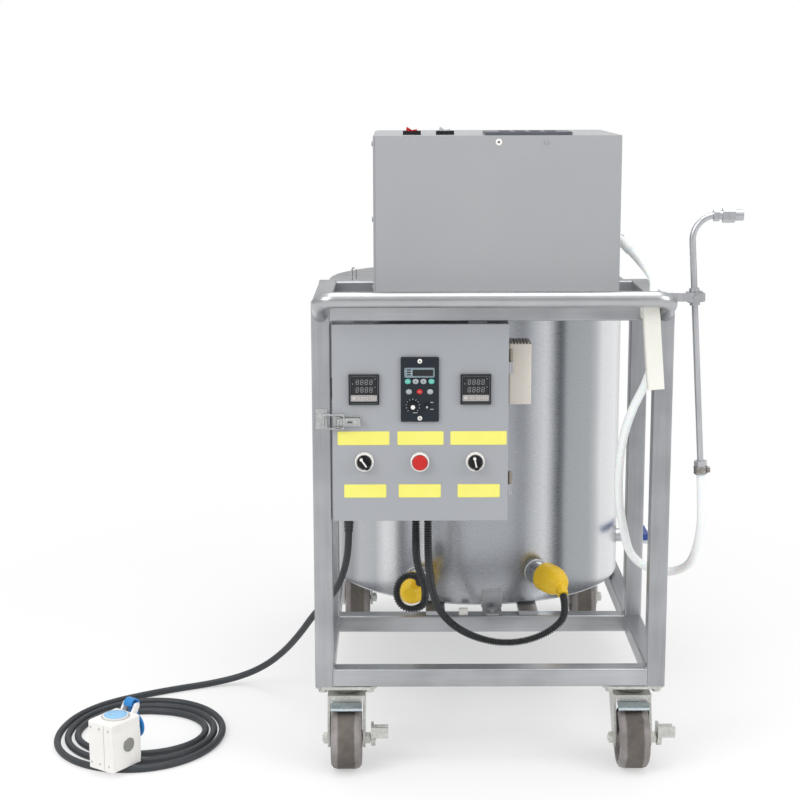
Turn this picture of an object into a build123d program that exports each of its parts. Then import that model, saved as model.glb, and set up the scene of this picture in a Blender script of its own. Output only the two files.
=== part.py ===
from build123d import *
import os
from math import atan2, degrees, pi, radians, sqrt, tan

# Wax melting and filling cart: a welded tube frame on four casters, a jacketed
# tank on its low rear deck, a control cabinet in the front bay, a pump housing
# on the top ring, and a dispensing lance with its hose on the right.
# Design frame: X right, Y towards the back, Z up. X = 0 is the frame's middle,
# Y = 0 the front face of the posts and Z = 0 the floor. The last lines move the
# origin to the middle of the footprint.

# Fits
RUN_GAP = 0.08
SLIP_GAP = 0.3
SEAT_GAP = 0.3

# Frame
TUBE = 30.0
TUBE_WALL = 1.5
TUBE_CORNER = 3.0
FRAME_W = 570.0
FRAME_BOTTOM = 142.0
FRAME_TOP = 774.0
CAGE_FRONT_TO_MID = 279.0
DECK_LENGTH = 872.0
HANDLE_D = 25.0
HANDLE_WALL = 1.5
HANDLE_REACH = 55.0
HANDLE_RISE = 11.0
HANDLE_FOOT_DROP = 17.0
HANDLE_BEND = 25.0

# Casters
WHEEL_D = 100.0
WHEEL_W = 50.0
TYRE_THICK = 13.0
HUB_BOSS_W = 52.0
AXLE_D = 10.0
CASTER_PLATE = 100.0
CASTER_PLATE_THICK = 5.0
CASTER_BOLT_PITCH = 76.0
CASTER_TRAIL = 38.0
FORK_WALL = 4.0
FORK_SIDE_GAP = 1.0
FORK_CROWN_DROP = 20.0
SWIVEL_D = 66.0
KINGPIN_D = 12.0

# Tank
TANK_R = 276.0
TANK_WALL = 2.0
TANK_TOP = 738.0
TANK_FRONT_GAP = 37.0
TANK_CENTRE_Y = CAGE_FRONT_TO_MID + TANK_FRONT_GAP + TANK_R
SKID_H = 8.0
TANK_BOTTOM = FRAME_BOTTOM + TUBE + SKID_H
BATH_GAP = 26.0
POT_R = TANK_R - BATH_GAP
POT_FLOOR = 268.0
LID_LAP = 4.0
LID_R = TANK_R + LID_LAP
LID_SKIRT = 12.0
LID_SHEET = 3.0
LID_SPLIT = 72.0
SKID_W = 34.0
SKID_X = 83.0
HEATER_X_RIGHT = 100.0
HEATER_Z_RIGHT = 238.0
HEATER_X_LEFT = -116.0
HEATER_Z_LEFT = 222.0
VALVE_Z = 236.0
VALVE_BORE_R = 10.0
MIXER_SHAFT_D = 14.0
MIXER_BODY = 84.0
MIXER_H = 120.0

# Control cabinet
CAB_W = 278.0
CAB_H = 316.0
CAB_DEPTH = 150.0
CAB_POST_GAP = 2.5
CAB_BOTTOM = 423.5
CAB_SHEET = 1.5
CAB_FRONT = 8.0
DOOR_FRONT = -5.0
DOOR_DEPTH = 12.0
CONTROL_PITCH = 88.0
CONTROLLER = 48.0
CONTROLLER_CUT = 45.0
CONTROL_Z = 637.0
SWITCH_Z = 520.5
SWITCH_HOLE_D = 22.0
SWITCH_RING_D = 30.0
SPEED_W = 60.0
SPEED_H = 103.0
HINGE_OUT = 4.0
HINGE_PIN_D = 3.0
LATCH_Z = 586.0
LATCH_PIVOT_OUT = 7.0

# Pump housing
HOUSING_W = 381.0
HOUSING_CENTRE_X = 7.0
HOUSING_FRONT = 4.0
HOUSING_DEPTH = 298.0
HOUSING_H = 257.0
HOUSING_SHEET = 1.5
ROCKER_W = 28.0
ROCKER_D = 22.0
ROCKER_Y = 60.0
PANEL_W = 135.0
PANEL_D = 90.0
PANEL_THICK = 5.0

# Lance
LANCE_D = 10.0
LANCE_BORE = 7.0
LANCE_Y = 15.0
LANCE_FOOT = (334.5, 512.0)
LANCE_BEND = (309.0, 907.5)
LANCE_NOSE_X = 389.0
LANCE_BEND_R = 38.0
FOOT_NUT_DROP = 18.0

# Cords
HOSE_D = 14.0
CONDUIT_D = 12.0
CORD_D = 12.0


def block(x0, x1, y0, y1, z0, z1):
    return Pos((x0 + x1) / 2, (y0 + y1) / 2, (z0 + z1) / 2) * Box(x1 - x0, y1 - y0, z1 - z0)


def rod_z(x, y, z0, z1, r):
    return Pos(x, y, (z0 + z1) / 2) * Cylinder(r, z1 - z0)


def rod_x(x0, x1, y, z, r):
    return Pos((x0 + x1) / 2, y, z) * Rot(0, 90, 0) * Cylinder(r, x1 - x0)


def rod_y(x, y0, y1, z, r):
    return Pos(x, (y0 + y1) / 2, z) * Rot(90, 0, 0) * Cylinder(r, y1 - y0)


def hex_z(x, y, z0, z1, across):
    return Pos(x, y, z0) * extrude(RegularPolygon(across / 2, 6, major_radius=False), z1 - z0)


def hex_x(x0, x1, y, z, across):
    outline = RegularPolygon(across / 2, 6, major_radius=False)
    return Pos(x0, y, z) * Rot(0, 90, 0) * extrude(outline, x1 - x0)


def hex_y(x, y0, y1, z, across):
    outline = RegularPolygon(across / 2, 6, major_radius=False)
    return Pos(x, y1, z) * Rot(90, 0, 0) * extrude(outline, y1 - y0)


def one(shape):
    """Return the solids of a boolean result as one shape that can be exported."""
    solids = shape.solids()
    return solids[0] if len(solids) == 1 else Compound(children=list(solids))


def group(*shapes):
    """Several separate solids that belong to one node."""
    found = []
    for shape in shapes:
        found.extend(shape.solids())
    return Compound(children=found)


def square_tube(length):
    """A rounded square tube along Z from 0 to length, centred on the Z axis."""
    outer = RectangleRounded(TUBE, TUBE, TUBE_CORNER)
    inner = RectangleRounded(TUBE - 2 * TUBE_WALL, TUBE - 2 * TUBE_WALL, TUBE_CORNER - TUBE_WALL)
    return extrude(outer - inner, length)


def tube_x(x0, x1, y_mid, z_mid):
    return Pos(x0, y_mid, z_mid) * Rot(0, 90, 0) * square_tube(x1 - x0)


def tube_y(x_mid, y0, y1, z_mid):
    return Pos(x_mid, y1, z_mid) * Rot(90, 0, 0) * square_tube(y1 - y0)


def tube_z(x_mid, y_mid, z0, z1):
    return Pos(x_mid, y_mid, z0) * square_tube(z1 - z0)


def tangent_radii(points):
    """Each corner's radius: 0.45 of the shorter run over the tangent of half the turn."""
    radii = []
    for before, corner, after in zip(points, points[1:], points[2:]):
        run_in = Vector(*corner) - Vector(*before)
        run_out = Vector(*after) - Vector(*corner)
        turn = radians(run_in.get_angle(run_out))
        radii.append(0.45 * min(run_in.length, run_out.length) / tan(turn / 2))
    return radii


def cord_tube(name, points, diameter, sides=0):
    """A tube along straight runs joined by tangent arcs, with its radii printed."""
    radii = tangent_radii(points)
    path = FilletPolyline(*points, radius=radii)
    start = Plane(origin=path @ 0, z_dir=path % 0)
    section = RegularPolygon(diameter / 2, sides) if sides else Circle(diameter / 2)
    tube = sweep(start * section, path)
    area = section.area
    print(name, "radii", [round(r) for r in radii], "length", round(path.length),
          "volume ratio", round(tube.volume / (area * path.length), 4))
    return tube


nodes = {}
cord_nodes = []

# Frame tubes
half_w = FRAME_W / 2
tube_mid_x = half_w - TUBE / 2
inner_x = half_w - TUBE
CAB_LEFT = CAB_POST_GAP - inner_x
rail_mid_z = FRAME_BOTTOM + TUBE / 2
rail_top = FRAME_BOTTOM + TUBE
top_mid_z = FRAME_TOP - TUBE / 2
top_under = FRAME_TOP - TUBE
front_mid_y = TUBE / 2
mid_mid_y = CAGE_FRONT_TO_MID + TUBE / 2
deck_end_y = DECK_LENGTH - TUBE / 2

end_plugs = []
for side in (-1, 1):
    plug_core = TUBE - 2 * TUBE_WALL - 2 * SLIP_GAP
    plug = block(-plug_core / 2, plug_core / 2, -12, 0, -plug_core / 2, plug_core / 2)
    plug += Pos(0, 1, 0) * Box(TUBE, 2, TUBE)
    end_plugs.append(Pos(side * tube_mid_x, DECK_LENGTH, rail_mid_z) * plug)

nodes["base_rails"] = group(
    tube_y(-tube_mid_x, TUBE, DECK_LENGTH, rail_mid_z),
    tube_y(tube_mid_x, TUBE, DECK_LENGTH, rail_mid_z),
    tube_x(-inner_x, inner_x, front_mid_y, rail_mid_z),
    tube_x(-inner_x, inner_x, mid_mid_y, rail_mid_z),
    tube_x(-inner_x, inner_x, deck_end_y, rail_mid_z),
    *end_plugs,
)
nodes["posts"] = group(
    tube_z(-tube_mid_x, front_mid_y, FRAME_BOTTOM, FRAME_TOP),
    tube_z(tube_mid_x, front_mid_y, FRAME_BOTTOM, FRAME_TOP),
    tube_z(-tube_mid_x, mid_mid_y, rail_top, FRAME_TOP),
    tube_z(tube_mid_x, mid_mid_y, rail_top, FRAME_TOP),
)
nodes["top_rails"] = group(
    tube_x(-inner_x, inner_x, front_mid_y, top_mid_z),
    tube_x(-inner_x, inner_x, mid_mid_y, top_mid_z),
    tube_y(-tube_mid_x, TUBE, CAGE_FRONT_TO_MID, top_mid_z),
    tube_y(tube_mid_x, TUBE, CAGE_FRONT_TO_MID, top_mid_z),
)

# Push handle: one bent tube whose legs come down to the faces of the corner posts
handle_bar_z = FRAME_TOP + HANDLE_RISE
handle_foot_z = FRAME_TOP - HANDLE_FOOT_DROP
handle_slope = (handle_bar_z - handle_foot_z) / HANDLE_REACH
handle_run_in = TUBE / 2
handle_points = [
    (-tube_mid_x, handle_run_in, handle_foot_z - handle_slope * handle_run_in),
    (-tube_mid_x, -HANDLE_REACH, handle_bar_z),
    (tube_mid_x, -HANDLE_REACH, handle_bar_z),
    (tube_mid_x, handle_run_in, handle_foot_z - handle_slope * handle_run_in),
]
handle_path = FilletPolyline(*handle_points, radius=HANDLE_BEND)
handle_ring = Circle(HANDLE_D / 2) - Circle(HANDLE_D / 2 - HANDLE_WALL)
handle = sweep(Plane(origin=handle_path @ 0, z_dir=handle_path % 0) * handle_ring, handle_path)
handle -= block(-half_w - 50, half_w + 50, 0, 60, handle_foot_z - 60, handle_bar_z + 60)
nodes["push_handle"] = one(handle)

# Caster top plates with their bolts and the swivel race under each
caster_x = half_w - CASTER_PLATE / 2
front_caster_y = CASTER_PLATE / 2
rear_caster_y = DECK_LENGTH - CASTER_PLATE / 2
plate_under = FRAME_BOTTOM - CASTER_PLATE_THICK
crown_top = FRAME_BOTTOM - FORK_CROWN_DROP
race_under = crown_top + SEAT_GAP
casters = {
    "fl": (-caster_x, front_caster_y),
    "fr": (caster_x, front_caster_y),
    "rl": (-caster_x, rear_caster_y),
    "rr": (caster_x, rear_caster_y),
}
plate_solids = []
for cx, cy in casters.values():
    plate = block(cx - CASTER_PLATE / 2, cx + CASTER_PLATE / 2, cy - CASTER_PLATE / 2,
                  cy + CASTER_PLATE / 2, plate_under, FRAME_BOTTOM)
    plate = chamfer(plate.edges().filter_by(Axis.Z), 10)
    race_z = (race_under + plate_under) / 2
    race = Pos(cx, cy, race_z) * Cone(SWIVEL_D / 2 - 8, SWIVEL_D / 2, plate_under - race_under)
    plate += race
    plate -= rod_z(cx, cy, race_under - 1, plate_under - 1, KINGPIN_D / 2 + RUN_GAP)
    for sx in (-1, 1):
        for sy in (-1, 1):
            bx = cx + sx * CASTER_BOLT_PITCH / 2
            by = cy + sy * CASTER_BOLT_PITCH / 2
            head = hex_z(bx, by, plate_under - 6, plate_under, 13)
            plate += head
    plate_solids.append(plate)
nodes["caster_plates"] = group(*plate_solids)

# Forks, wheels and brakes
wheel_r = WHEEL_D / 2
axle_z = wheel_r
leg_inner = HUB_BOSS_W / 2 + FORK_SIDE_GAP
leg_outer = leg_inner + FORK_WALL
crown_under = crown_top - FORK_WALL


def fork(cx, cy, bolt_out):
    """Bent steel fork with its kingpin, whose legs lean forward to the axle bolt."""
    ay = cy - CASTER_TRAIL
    crown_half = SWIVEL_D / 2 + 2
    leg_side = Polyline((cy - crown_half, crown_top), (cy + crown_half - 6, crown_top),
                        (cy + crown_half - 14, crown_top - 22), (ay + 15, axle_z - 4),
                        (ay + 6, axle_z - 14), (ay - 6, axle_z - 14), (ay - 15, axle_z - 4),
                        (ay - 13, axle_z + 16), (cy - crown_half, crown_top - 14), close=True)
    profile = make_face(Plane.YZ * leg_side)
    legs = []
    for side in (-1, 1):
        x0 = cx + (leg_inner if side > 0 else -leg_outer)
        legs.append(Pos(x0, 0, 0) * extrude(profile, FORK_WALL, dir=(1, 0, 0)))
    body = legs[0] + legs[1]
    body += block(cx - leg_outer, cx + leg_outer, cy - crown_half, cy + crown_half - 6,
                  crown_under, crown_top)
    body += rod_z(cx, cy, crown_under, plate_under - 2, KINGPIN_D / 2)
    body -= rod_x(cx - leg_outer - 1, cx + leg_outer + 1, ay, axle_z, AXLE_D / 2 + SLIP_GAP)
    bolt = rod_x(cx - leg_outer - 9, cx + leg_outer + bolt_out, ay, axle_z, AXLE_D / 2)
    bolt += hex_x(cx - leg_outer - 7, cx - leg_outer, ay, axle_z, 17)
    bolt += hex_x(cx + leg_outer, cx + leg_outer + 8, ay, axle_z, 17)
    return group(body, bolt)


def wheel(cx, cy):
    """Ribbed cast core with a solid rubber tyre pressed on its rim."""
    ay = cy - CASTER_TRAIL
    core_r = wheel_r - TYRE_THICK
    half = WHEEL_W / 2
    core_side = Polyline((AXLE_D / 2 + RUN_GAP, -HUB_BOSS_W / 2), (14, -HUB_BOSS_W / 2),
                         (16, -10), (core_r - 6, -10), (core_r - 4, -half + 3), (core_r, -half + 3),
                         (core_r, half - 3), (core_r - 4, half - 3), (core_r - 6, 10), (16, 10),
                         (14, HUB_BOSS_W / 2), (AXLE_D / 2 + RUN_GAP, HUB_BOSS_W / 2), close=True)
    core = revolve(make_face(core_side), Axis.Y)
    shoulder = 7.0
    tyre_side = make_face(Polyline((core_r + 0.1, -half + 1.5), (core_r + 2, -half),
                                   (wheel_r - shoulder, -half),
                                   (wheel_r - 2, -half + 3.5), (wheel_r, -half + shoulder + 3),
                                   (wheel_r, half - shoulder - 3), (wheel_r - 2, half - 3.5),
                                   (wheel_r - shoulder, half), (core_r + 2, half),
                                   (core_r + 0.1, half - 1.5), close=True))
    tyre = revolve(tyre_side, Axis.Y)
    turned = Pos(cx, ay, axle_z) * Rot(0, 0, 90)
    return group(turned * core, turned * tyre)


def brake(cx, cy):
    """Side brake: a cam ring on the axle's end with an arm and two foot tabs."""
    ay = cy - CASTER_TRAIL
    x0 = cx + leg_outer + 8 + SEAT_GAP + 1
    ring = rod_x(x0, x0 + 7, ay, axle_z, 13)
    arm = block(x0, x0 + 4, ay - 16, ay + 16, axle_z + 4, axle_z + 22)
    toe = block(x0, x0 + 28, ay - 18, ay - 14, axle_z + 6, axle_z + 24)
    heel = block(x0, x0 + 28, ay + 14, ay + 18, axle_z, axle_z + 16)
    body = ring + arm + toe + heel
    inner = rod_x(x0 - 9, x0 + 8, ay, axle_z, AXLE_D / 2 + RUN_GAP)
    return one(body - inner)


for tag, (cx, cy) in casters.items():
    nodes["fork_" + tag] = fork(cx, cy, 17 if tag in ("fl", "fr") else 9)
    nodes["wheel_" + tag] = wheel(cx, cy)
for tag in ("fl", "fr"):
    nodes["brake_" + tag] = brake(*casters[tag])

# Tank jacket with its floor, heater holes and drain stub
tank_axis = Pos(0, TANK_CENTRE_Y, 0)
jacket_in = TANK_R - TANK_WALL
floor_thick = 3.0
jacket_side = make_face(Polyline((0, TANK_BOTTOM), (TANK_R - 4, TANK_BOTTOM), (TANK_R, TANK_BOTTOM + 4),
                                 (TANK_R, TANK_TOP), (jacket_in, TANK_TOP),
                                 (jacket_in, TANK_BOTTOM + floor_thick), (0, TANK_BOTTOM + floor_thick),
                                 close=True))
jacket = revolve(Plane.XZ * jacket_side, Axis.Z)
BOSS_R = 20.0
BOSS_OUT = 22.0
HEATER_DIP = 4.0
heater_seats = []
for hx, hz, aim in ((HEATER_X_RIGHT, HEATER_Z_RIGHT, 31.5), (HEATER_X_LEFT, HEATER_Z_LEFT, -10.0)):
    wall_y = TANK_CENTRE_Y - sqrt(TANK_R ** 2 - hx ** 2)
    heater_seats.append(Pos(hx, wall_y, hz) * Rot(0, 0, aim) * Rot(HEATER_DIP, 0, 0))
jacket = tank_axis * jacket
for seat in heater_seats:
    jacket -= seat * rod_y(0, -30, 30, 0, BOSS_R)
jacket -= rod_x(jacket_in - 20, TANK_R + 5, TANK_CENTRE_Y, VALVE_Z, 13)
nodes["tank_jacket"] = one(jacket)

# Wax pot hung in the jacket by its flange
FLANGE_THICK = 2.0
pot_in = POT_R - TANK_WALL
pot_side = make_face(Polyline((0, POT_FLOOR), (POT_R - 20, POT_FLOOR), (POT_R, POT_FLOOR + 20),
                              (POT_R, TANK_TOP), (TANK_R, TANK_TOP), (TANK_R, TANK_TOP + FLANGE_THICK),
                              (pot_in, TANK_TOP + FLANGE_THICK), (pot_in, POT_FLOOR + 21),
                              (POT_R - 21, POT_FLOOR + TANK_WALL), (0, POT_FLOOR + TANK_WALL), close=True))
nodes["wax_pot"] = one(tank_axis * revolve(Plane.XZ * pot_side, Axis.Z))

# Immersion heaters: boss, hex head and a hairpin element reaching into the bath
ELEMENT_D = 8.0
ELEMENT_REACH = 150.0
ELEMENT_HALF = 9.0
CAP_BASE_R = 26.0
CAP_TIP_R = 15.0
CAP_LENGTH = 56.0
CAP_START = BOSS_OUT + 4
heater_solids = []
cap_solids = []
for seat in heater_seats:
    face = 14
    body = rod_y(0, -BOSS_OUT, face, 0, BOSS_R)
    body += hex_y(0, -BOSS_OUT - 8, -BOSS_OUT, 0, 36)
    for level in (-ELEMENT_HALF, ELEMENT_HALF):
        body += rod_y(0, face - 4, face + ELEMENT_REACH, level, ELEMENT_D / 2)
    body += Pos(0, face + ELEMENT_REACH, 0) * Box(ELEMENT_D, ELEMENT_D, 2 * ELEMENT_HALF + ELEMENT_D)
    heater_solids.append(seat * body)
    cap_side = make_face(Polyline((21, 0), (CAP_BASE_R - 1, 0), (CAP_BASE_R, 2), (CAP_BASE_R, 24),
                                  (CAP_BASE_R - 1.5, 34), (CAP_BASE_R - 5, 43), (CAP_TIP_R + 1, 51),
                                  (CAP_TIP_R - 3, CAP_LENGTH), (0, CAP_LENGTH), (0, CAP_LENGTH - 3),
                                  (CAP_TIP_R - 4, CAP_LENGTH - 4), (CAP_BASE_R - 7, 38), (23, 22),
                                  (23, 3), (21, 3), close=True))
    cap = revolve(Plane.XZ * cap_side, Axis.Z)
    cap_solids.append(seat * Pos(0, -CAP_START, 0) * Rot(90, 0, 0) * cap)
nodes["heaters"] = group(*heater_solids)
# Nose bosses that the conduits leave from: one aimed down, one at the left cap's top
NOSE_R = 10.0
nose_line = Vector(0.15, -0.75, -0.64).normalized()
nose_root = (heater_seats[0] * Pos(0, -CAP_START - CAP_LENGTH + 8, 0)).position
nose_end = nose_root + nose_line * 22
nose = Plane(origin=nose_root, z_dir=nose_line) * Pos(0, 0, 11) * Cylinder(NOSE_R, 22)
left_entry = (-112.0, 262.0, 239.0)
flank = rod_y(left_entry[0], left_entry[1], left_entry[1] + 25, left_entry[2], 8.5)
cap_solids[0] = cap_solids[0] + nose
cap_solids[1] = cap_solids[1] + flank
nodes["heater_caps"] = group(*cap_solids)

# Tank skids on the deck, front lug with its bolt, and the cable joint block
skid_z = rail_top
lug_x = 19.0
mounts = []
for sx in (-SKID_X, SKID_X):
    mounts.append(block(sx - SKID_W / 2, sx + SKID_W / 2, CAGE_FRONT_TO_MID + 4, DECK_LENGTH - 4,
                        skid_z, TANK_BOTTOM))
lug_back = TANK_CENTRE_Y - TANK_R
lug = block(lug_x - 17, lug_x + 17, lug_back - 4, lug_back, skid_z, skid_z + 36)
foot = block(lug_x - 17, lug_x + 17, CAGE_FRONT_TO_MID + 1, lug_back, skid_z, skid_z + 4)
foot = chamfer(foot.edges().filter_by(Axis.Z).group_by(Axis.Y)[0], 7)
lug += foot
lug += hex_z(lug_x, mid_mid_y, skid_z + 4, skid_z + 10, 13)
mounts.append(lug)
joint_block = block(-39, -27, CAGE_FRONT_TO_MID + 6, CAGE_FRONT_TO_MID + 16, skid_z, skid_z + 9)
mounts.append(joint_block)
nodes["tank_mounts"] = group(*mounts)

# Drain: stub and ball valve on the tank's right, with its lever
VALVE_X = TANK_R + 45
VALVE_R = 13.0
valve = rod_x(jacket_in - 6, VALVE_X - 22, TANK_CENTRE_Y, VALVE_Z, VALVE_R)
valve += hex_x(VALVE_X - 26, VALVE_X - 13, TANK_CENTRE_Y, VALVE_Z, 32)
valve += rod_x(VALVE_X - 13, VALVE_X + 13, TANK_CENTRE_Y, VALVE_Z, 17)
valve += hex_x(VALVE_X + 13, VALVE_X + 26, TANK_CENTRE_Y, VALVE_Z, 32)
valve += rod_z(VALVE_X, TANK_CENTRE_Y, VALVE_Z, VALVE_Z + 21, 9)
valve -= rod_x(jacket_in - 8, VALVE_X + 30, TANK_CENTRE_Y, VALVE_Z, VALVE_BORE_R)
STEM_R = 4.0
valve -= rod_z(VALVE_X, TANK_CENTRE_Y, VALVE_Z + 12, VALVE_Z + 30, STEM_R + RUN_GAP)
nodes["drain_valve"] = one(valve)
lever_z = VALVE_Z + 21 + SEAT_GAP
lever = rod_z(VALVE_X, TANK_CENTRE_Y, VALVE_Z + 13, lever_z + 5, STEM_R)
lever += block(VALVE_X - 8, VALVE_X + 8, TANK_CENTRE_Y - 40, TANK_CENTRE_Y + 9, lever_z, lever_z + 3)
lever += hex_z(VALVE_X, TANK_CENTRE_Y, lever_z + 3, lever_z + 8, 11)
grip = block(VALVE_X - 8, VALVE_X + 8, TANK_CENTRE_Y - 104, TANK_CENTRE_Y - 36, lever_z - 4, lever_z + 8)
grip = fillet(grip.edges().filter_by(Axis.Y), 4)
lever += grip
nodes["valve_lever"] = one(lever)

# Tank cover, loading flap and its hinge line
cover_under = TANK_TOP + FLANGE_THICK
split_y = TANK_CENTRE_Y + LID_SPLIT
LID_GAP = 2.0
SKIRT_WALL = 1.5


def lid_disc(under):
    """Flat disc with a downturned skirt round the tank's rim."""
    side = make_face(Polyline((0, under), (LID_R - SKIRT_WALL, under),
                              (LID_R - SKIRT_WALL, under - LID_SKIRT), (LID_R, under - LID_SKIRT),
                              (LID_R, under + LID_SHEET - 1),
                              (LID_R - 1, under + LID_SHEET), (0, under + LID_SHEET), close=True))
    return tank_axis * revolve(Plane.XZ * side, Axis.Z)


cover_top = cover_under + LID_SHEET
HINGE_R = 4.0
hinge_z = cover_top + HINGE_R + 1
hinge_y = split_y
far = LID_R + 20
cover = lid_disc(cover_under)
cover -= block(-far, far, split_y - LID_GAP / 2, TANK_CENTRE_Y + far, cover_under - 40, cover_top + 10)
flap = lid_disc(cover_under + SEAT_GAP)
flap -= block(-far, far, TANK_CENTRE_Y - far, split_y + LID_GAP / 2, cover_under - 40, cover_top + 10)
SUCTION_X = HOUSING_CENTRE_X + HOUSING_W / 2 - 127.5
SUCTION_Y = TANK_CENTRE_Y - 162
SUCTION_R = 8.0
PROBE_X = -70.0
shaft_r = MIXER_SHAFT_D / 2
cover -= rod_z(0, TANK_CENTRE_Y, cover_under - 5, cover_top + 5, shaft_r + 4)
cover -= rod_z(SUCTION_X, SUCTION_Y, cover_under - 5, cover_top + 5, SUCTION_R)
for hx in (-150, 150):
    cover += block(hx - 12, hx + 12, hinge_y - 16, hinge_y - LID_GAP / 2, cover_top, cover_top + 1.5)
    cover += block(hx - 12, hx + 12, hinge_y - 5, hinge_y - LID_GAP / 2, cover_top, hinge_z)
    cover += rod_x(hx - 12, hx + 12, hinge_y, hinge_z, HINGE_R)
    cover += rod_x(hx + 12, hx + 37, hinge_y, hinge_z, HINGE_PIN_D / 2)
    flap += block(hx + 12.5, hx + 36, hinge_y + LID_GAP / 2, hinge_y + 16, cover_top, cover_top + 1.8)
    flap += block(hx + 12.5, hx + 36, hinge_y + LID_GAP / 2, hinge_y + 5, cover_top, hinge_z)
    knuckle = rod_x(hx + 12.5, hx + 36, hinge_y, hinge_z, HINGE_R)
    flap += knuckle
    flap -= rod_x(hx + 12.4, hx + 37, hinge_y, hinge_z, HINGE_PIN_D / 2 + RUN_GAP)
probe = rod_z(PROBE_X, SUCTION_Y, 430, cover_top, 4)
probe += hex_z(PROBE_X, SUCTION_Y, cover_top, cover_top + 12, 19)
probe += rod_z(PROBE_X, SUCTION_Y, cover_top + 12, cover_top + 52, 11)
cover -= rod_z(PROBE_X, SUCTION_Y, cover_under - 1, cover_top, 4)
pull_y = TANK_CENTRE_Y + LID_R - 65
flap_top = cover_top + SEAT_GAP
pull_path = FilletPolyline((-50, pull_y, flap_top - 1), (-50, pull_y, flap_top + 32),
                           (50, pull_y, flap_top + 32), (50, pull_y, flap_top - 1), radius=12)
pull = sweep(Plane(origin=pull_path @ 0, z_dir=pull_path % 0) * Circle(5), pull_path)
flap += pull
nodes["loading_flap"] = one(flap)

# Wire clip that holds the cover's left edge, standing up beside the rim
CLIP_TURN = -53.5
CLIP_WIRE = 3.0
clip_at = tank_axis * Rot(0, 0, CLIP_TURN)
clip_y = -LID_R - 4
clip_axis_z = cover_under + 8
clip_side = [(-6, 0, 0), (-6, 0, 34), (6, 0, 34), (6, 0, 0)]
clip_path = FilletPolyline(*clip_side, radius=5)
wire = sweep(Plane(origin=clip_path @ 0, z_dir=clip_path % 0) * Circle(CLIP_WIRE / 2), clip_path)
clip = wire + rod_x(-9, 9, 0, 0, CLIP_WIRE / 2)
clip_ears = block(-15, 15, -LID_R - 1, -LID_R + 6, cover_top, cover_top + 2)
for ex in (-13, 9.5):
    ear = block(ex, ex + 3.5, clip_y - 5, -LID_R + 6, cover_top, clip_axis_z + 5)
    clip_ears += ear
for ex in (-13, 9.5):
    clip_ears -= rod_x(ex - 0.1, ex + 3.6, clip_y, clip_axis_z, CLIP_WIRE / 2 + RUN_GAP)
clip_axle_tips = rod_x(-11, -9, 0, 0, CLIP_WIRE / 2) + rod_x(9, 11, 0, 0, CLIP_WIRE / 2)
nodes["lid_clip"] = one(clip_at * Pos(0, clip_y, clip_axis_z) * (clip + clip_axle_tips))
nodes["tank_cover"] = group(cover + clip_at * clip_ears, probe)

# Mixer: geared motor on the cover, shaft and two pitched paddles
motor_z = cover_top
gear_half = MIXER_BODY / 2
motor = block(-gear_half - 14, gear_half + 14, TANK_CENTRE_Y - gear_half - 14,
              TANK_CENTRE_Y + gear_half + 14, motor_z, motor_z + 6)
motor += block(-gear_half, gear_half, TANK_CENTRE_Y - gear_half, TANK_CENTRE_Y + gear_half,
               motor_z + 6, motor_z + 56)
motor += rod_z(0, TANK_CENTRE_Y, motor_z + 56, motor_z + MIXER_H, gear_half - 2)
motor -= rod_z(0, TANK_CENTRE_Y, motor_z - 1, motor_z + 40, shaft_r + RUN_GAP)
nodes["mixer_motor"] = one(motor)
SHAFT_LOW = 300.0
BLADE_REACH = 95.0
shaft = rod_z(0, TANK_CENTRE_Y, SHAFT_LOW, motor_z + 38, shaft_r)
for level in (SHAFT_LOW + 20, SHAFT_LOW + 190):
    shaft += rod_z(0, TANK_CENTRE_Y, level - 16, level + 16, 15)
    for quarter in range(4):
        blade = Pos((BLADE_REACH + 10) / 2, 0, 0) * Rot(45, 0, 0) * Box(BLADE_REACH - 10, 34, 3)
        shaft += Pos(0, TANK_CENTRE_Y, level) * Rot(0, 0, 90 * quarter) * blade
nodes["mixer_shaft"] = one(shaft)

# Control cabinet: folded body with a lip round its mouth, hung under the front rail
cab_right = CAB_LEFT + CAB_W
cab_top = CAB_BOTTOM + CAB_H
cab_back = CAB_FRONT + CAB_DEPTH
cab_mid_x = CAB_LEFT + CAB_W / 2
LIP = 12.0
GLAND_R = 9.0
conduit_exits = {"right": (-100.0, 96.0), "left": (-120.0, 112.0)}
supply_exit = (-232.0, 120.0)
body = block(CAB_LEFT, cab_right, CAB_FRONT, cab_back, CAB_BOTTOM, cab_top)
body -= block(CAB_LEFT + CAB_SHEET, cab_right - CAB_SHEET, CAB_FRONT + CAB_SHEET,
              cab_back - CAB_SHEET, CAB_BOTTOM + CAB_SHEET, cab_top - CAB_SHEET)
body -= block(CAB_LEFT + LIP, cab_right - LIP, CAB_FRONT - 1, CAB_FRONT + 5,
              CAB_BOTTOM + LIP, cab_top - LIP)
for bx in (cab_mid_x - 90, cab_mid_x + 90):
    body += block(bx - 15, bx + 15, 10, 28, cab_top, top_under)
body += block(-inner_x, CAB_LEFT, 10, 28, cab_top - 120, cab_top - 90)
for ex, ey in (*conduit_exits.values(), supply_exit):
    body -= rod_z(ex, ey, CAB_BOTTOM - 1, CAB_BOTTOM + 3, GLAND_R)
gland_solids = []
gland_low = CAB_BOTTOM - 20
for ex, ey in (*conduit_exits.values(), supply_exit):
    gland = rod_z(ex, ey, CAB_BOTTOM - 1, CAB_BOTTOM + 12, GLAND_R)
    gland += hex_z(ex, ey, CAB_BOTTOM - 8, CAB_BOTTOM, 22)
    gland += rod_z(ex, ey, gland_low, CAB_BOTTOM - 8, 10)
    gland += hex_z(ex, ey, CAB_BOTTOM + CAB_SHEET, CAB_BOTTOM + CAB_SHEET + 5, 24)
    gland_solids.append(gland)
nodes["cabinet_body"] = group(body, *gland_solids)

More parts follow.
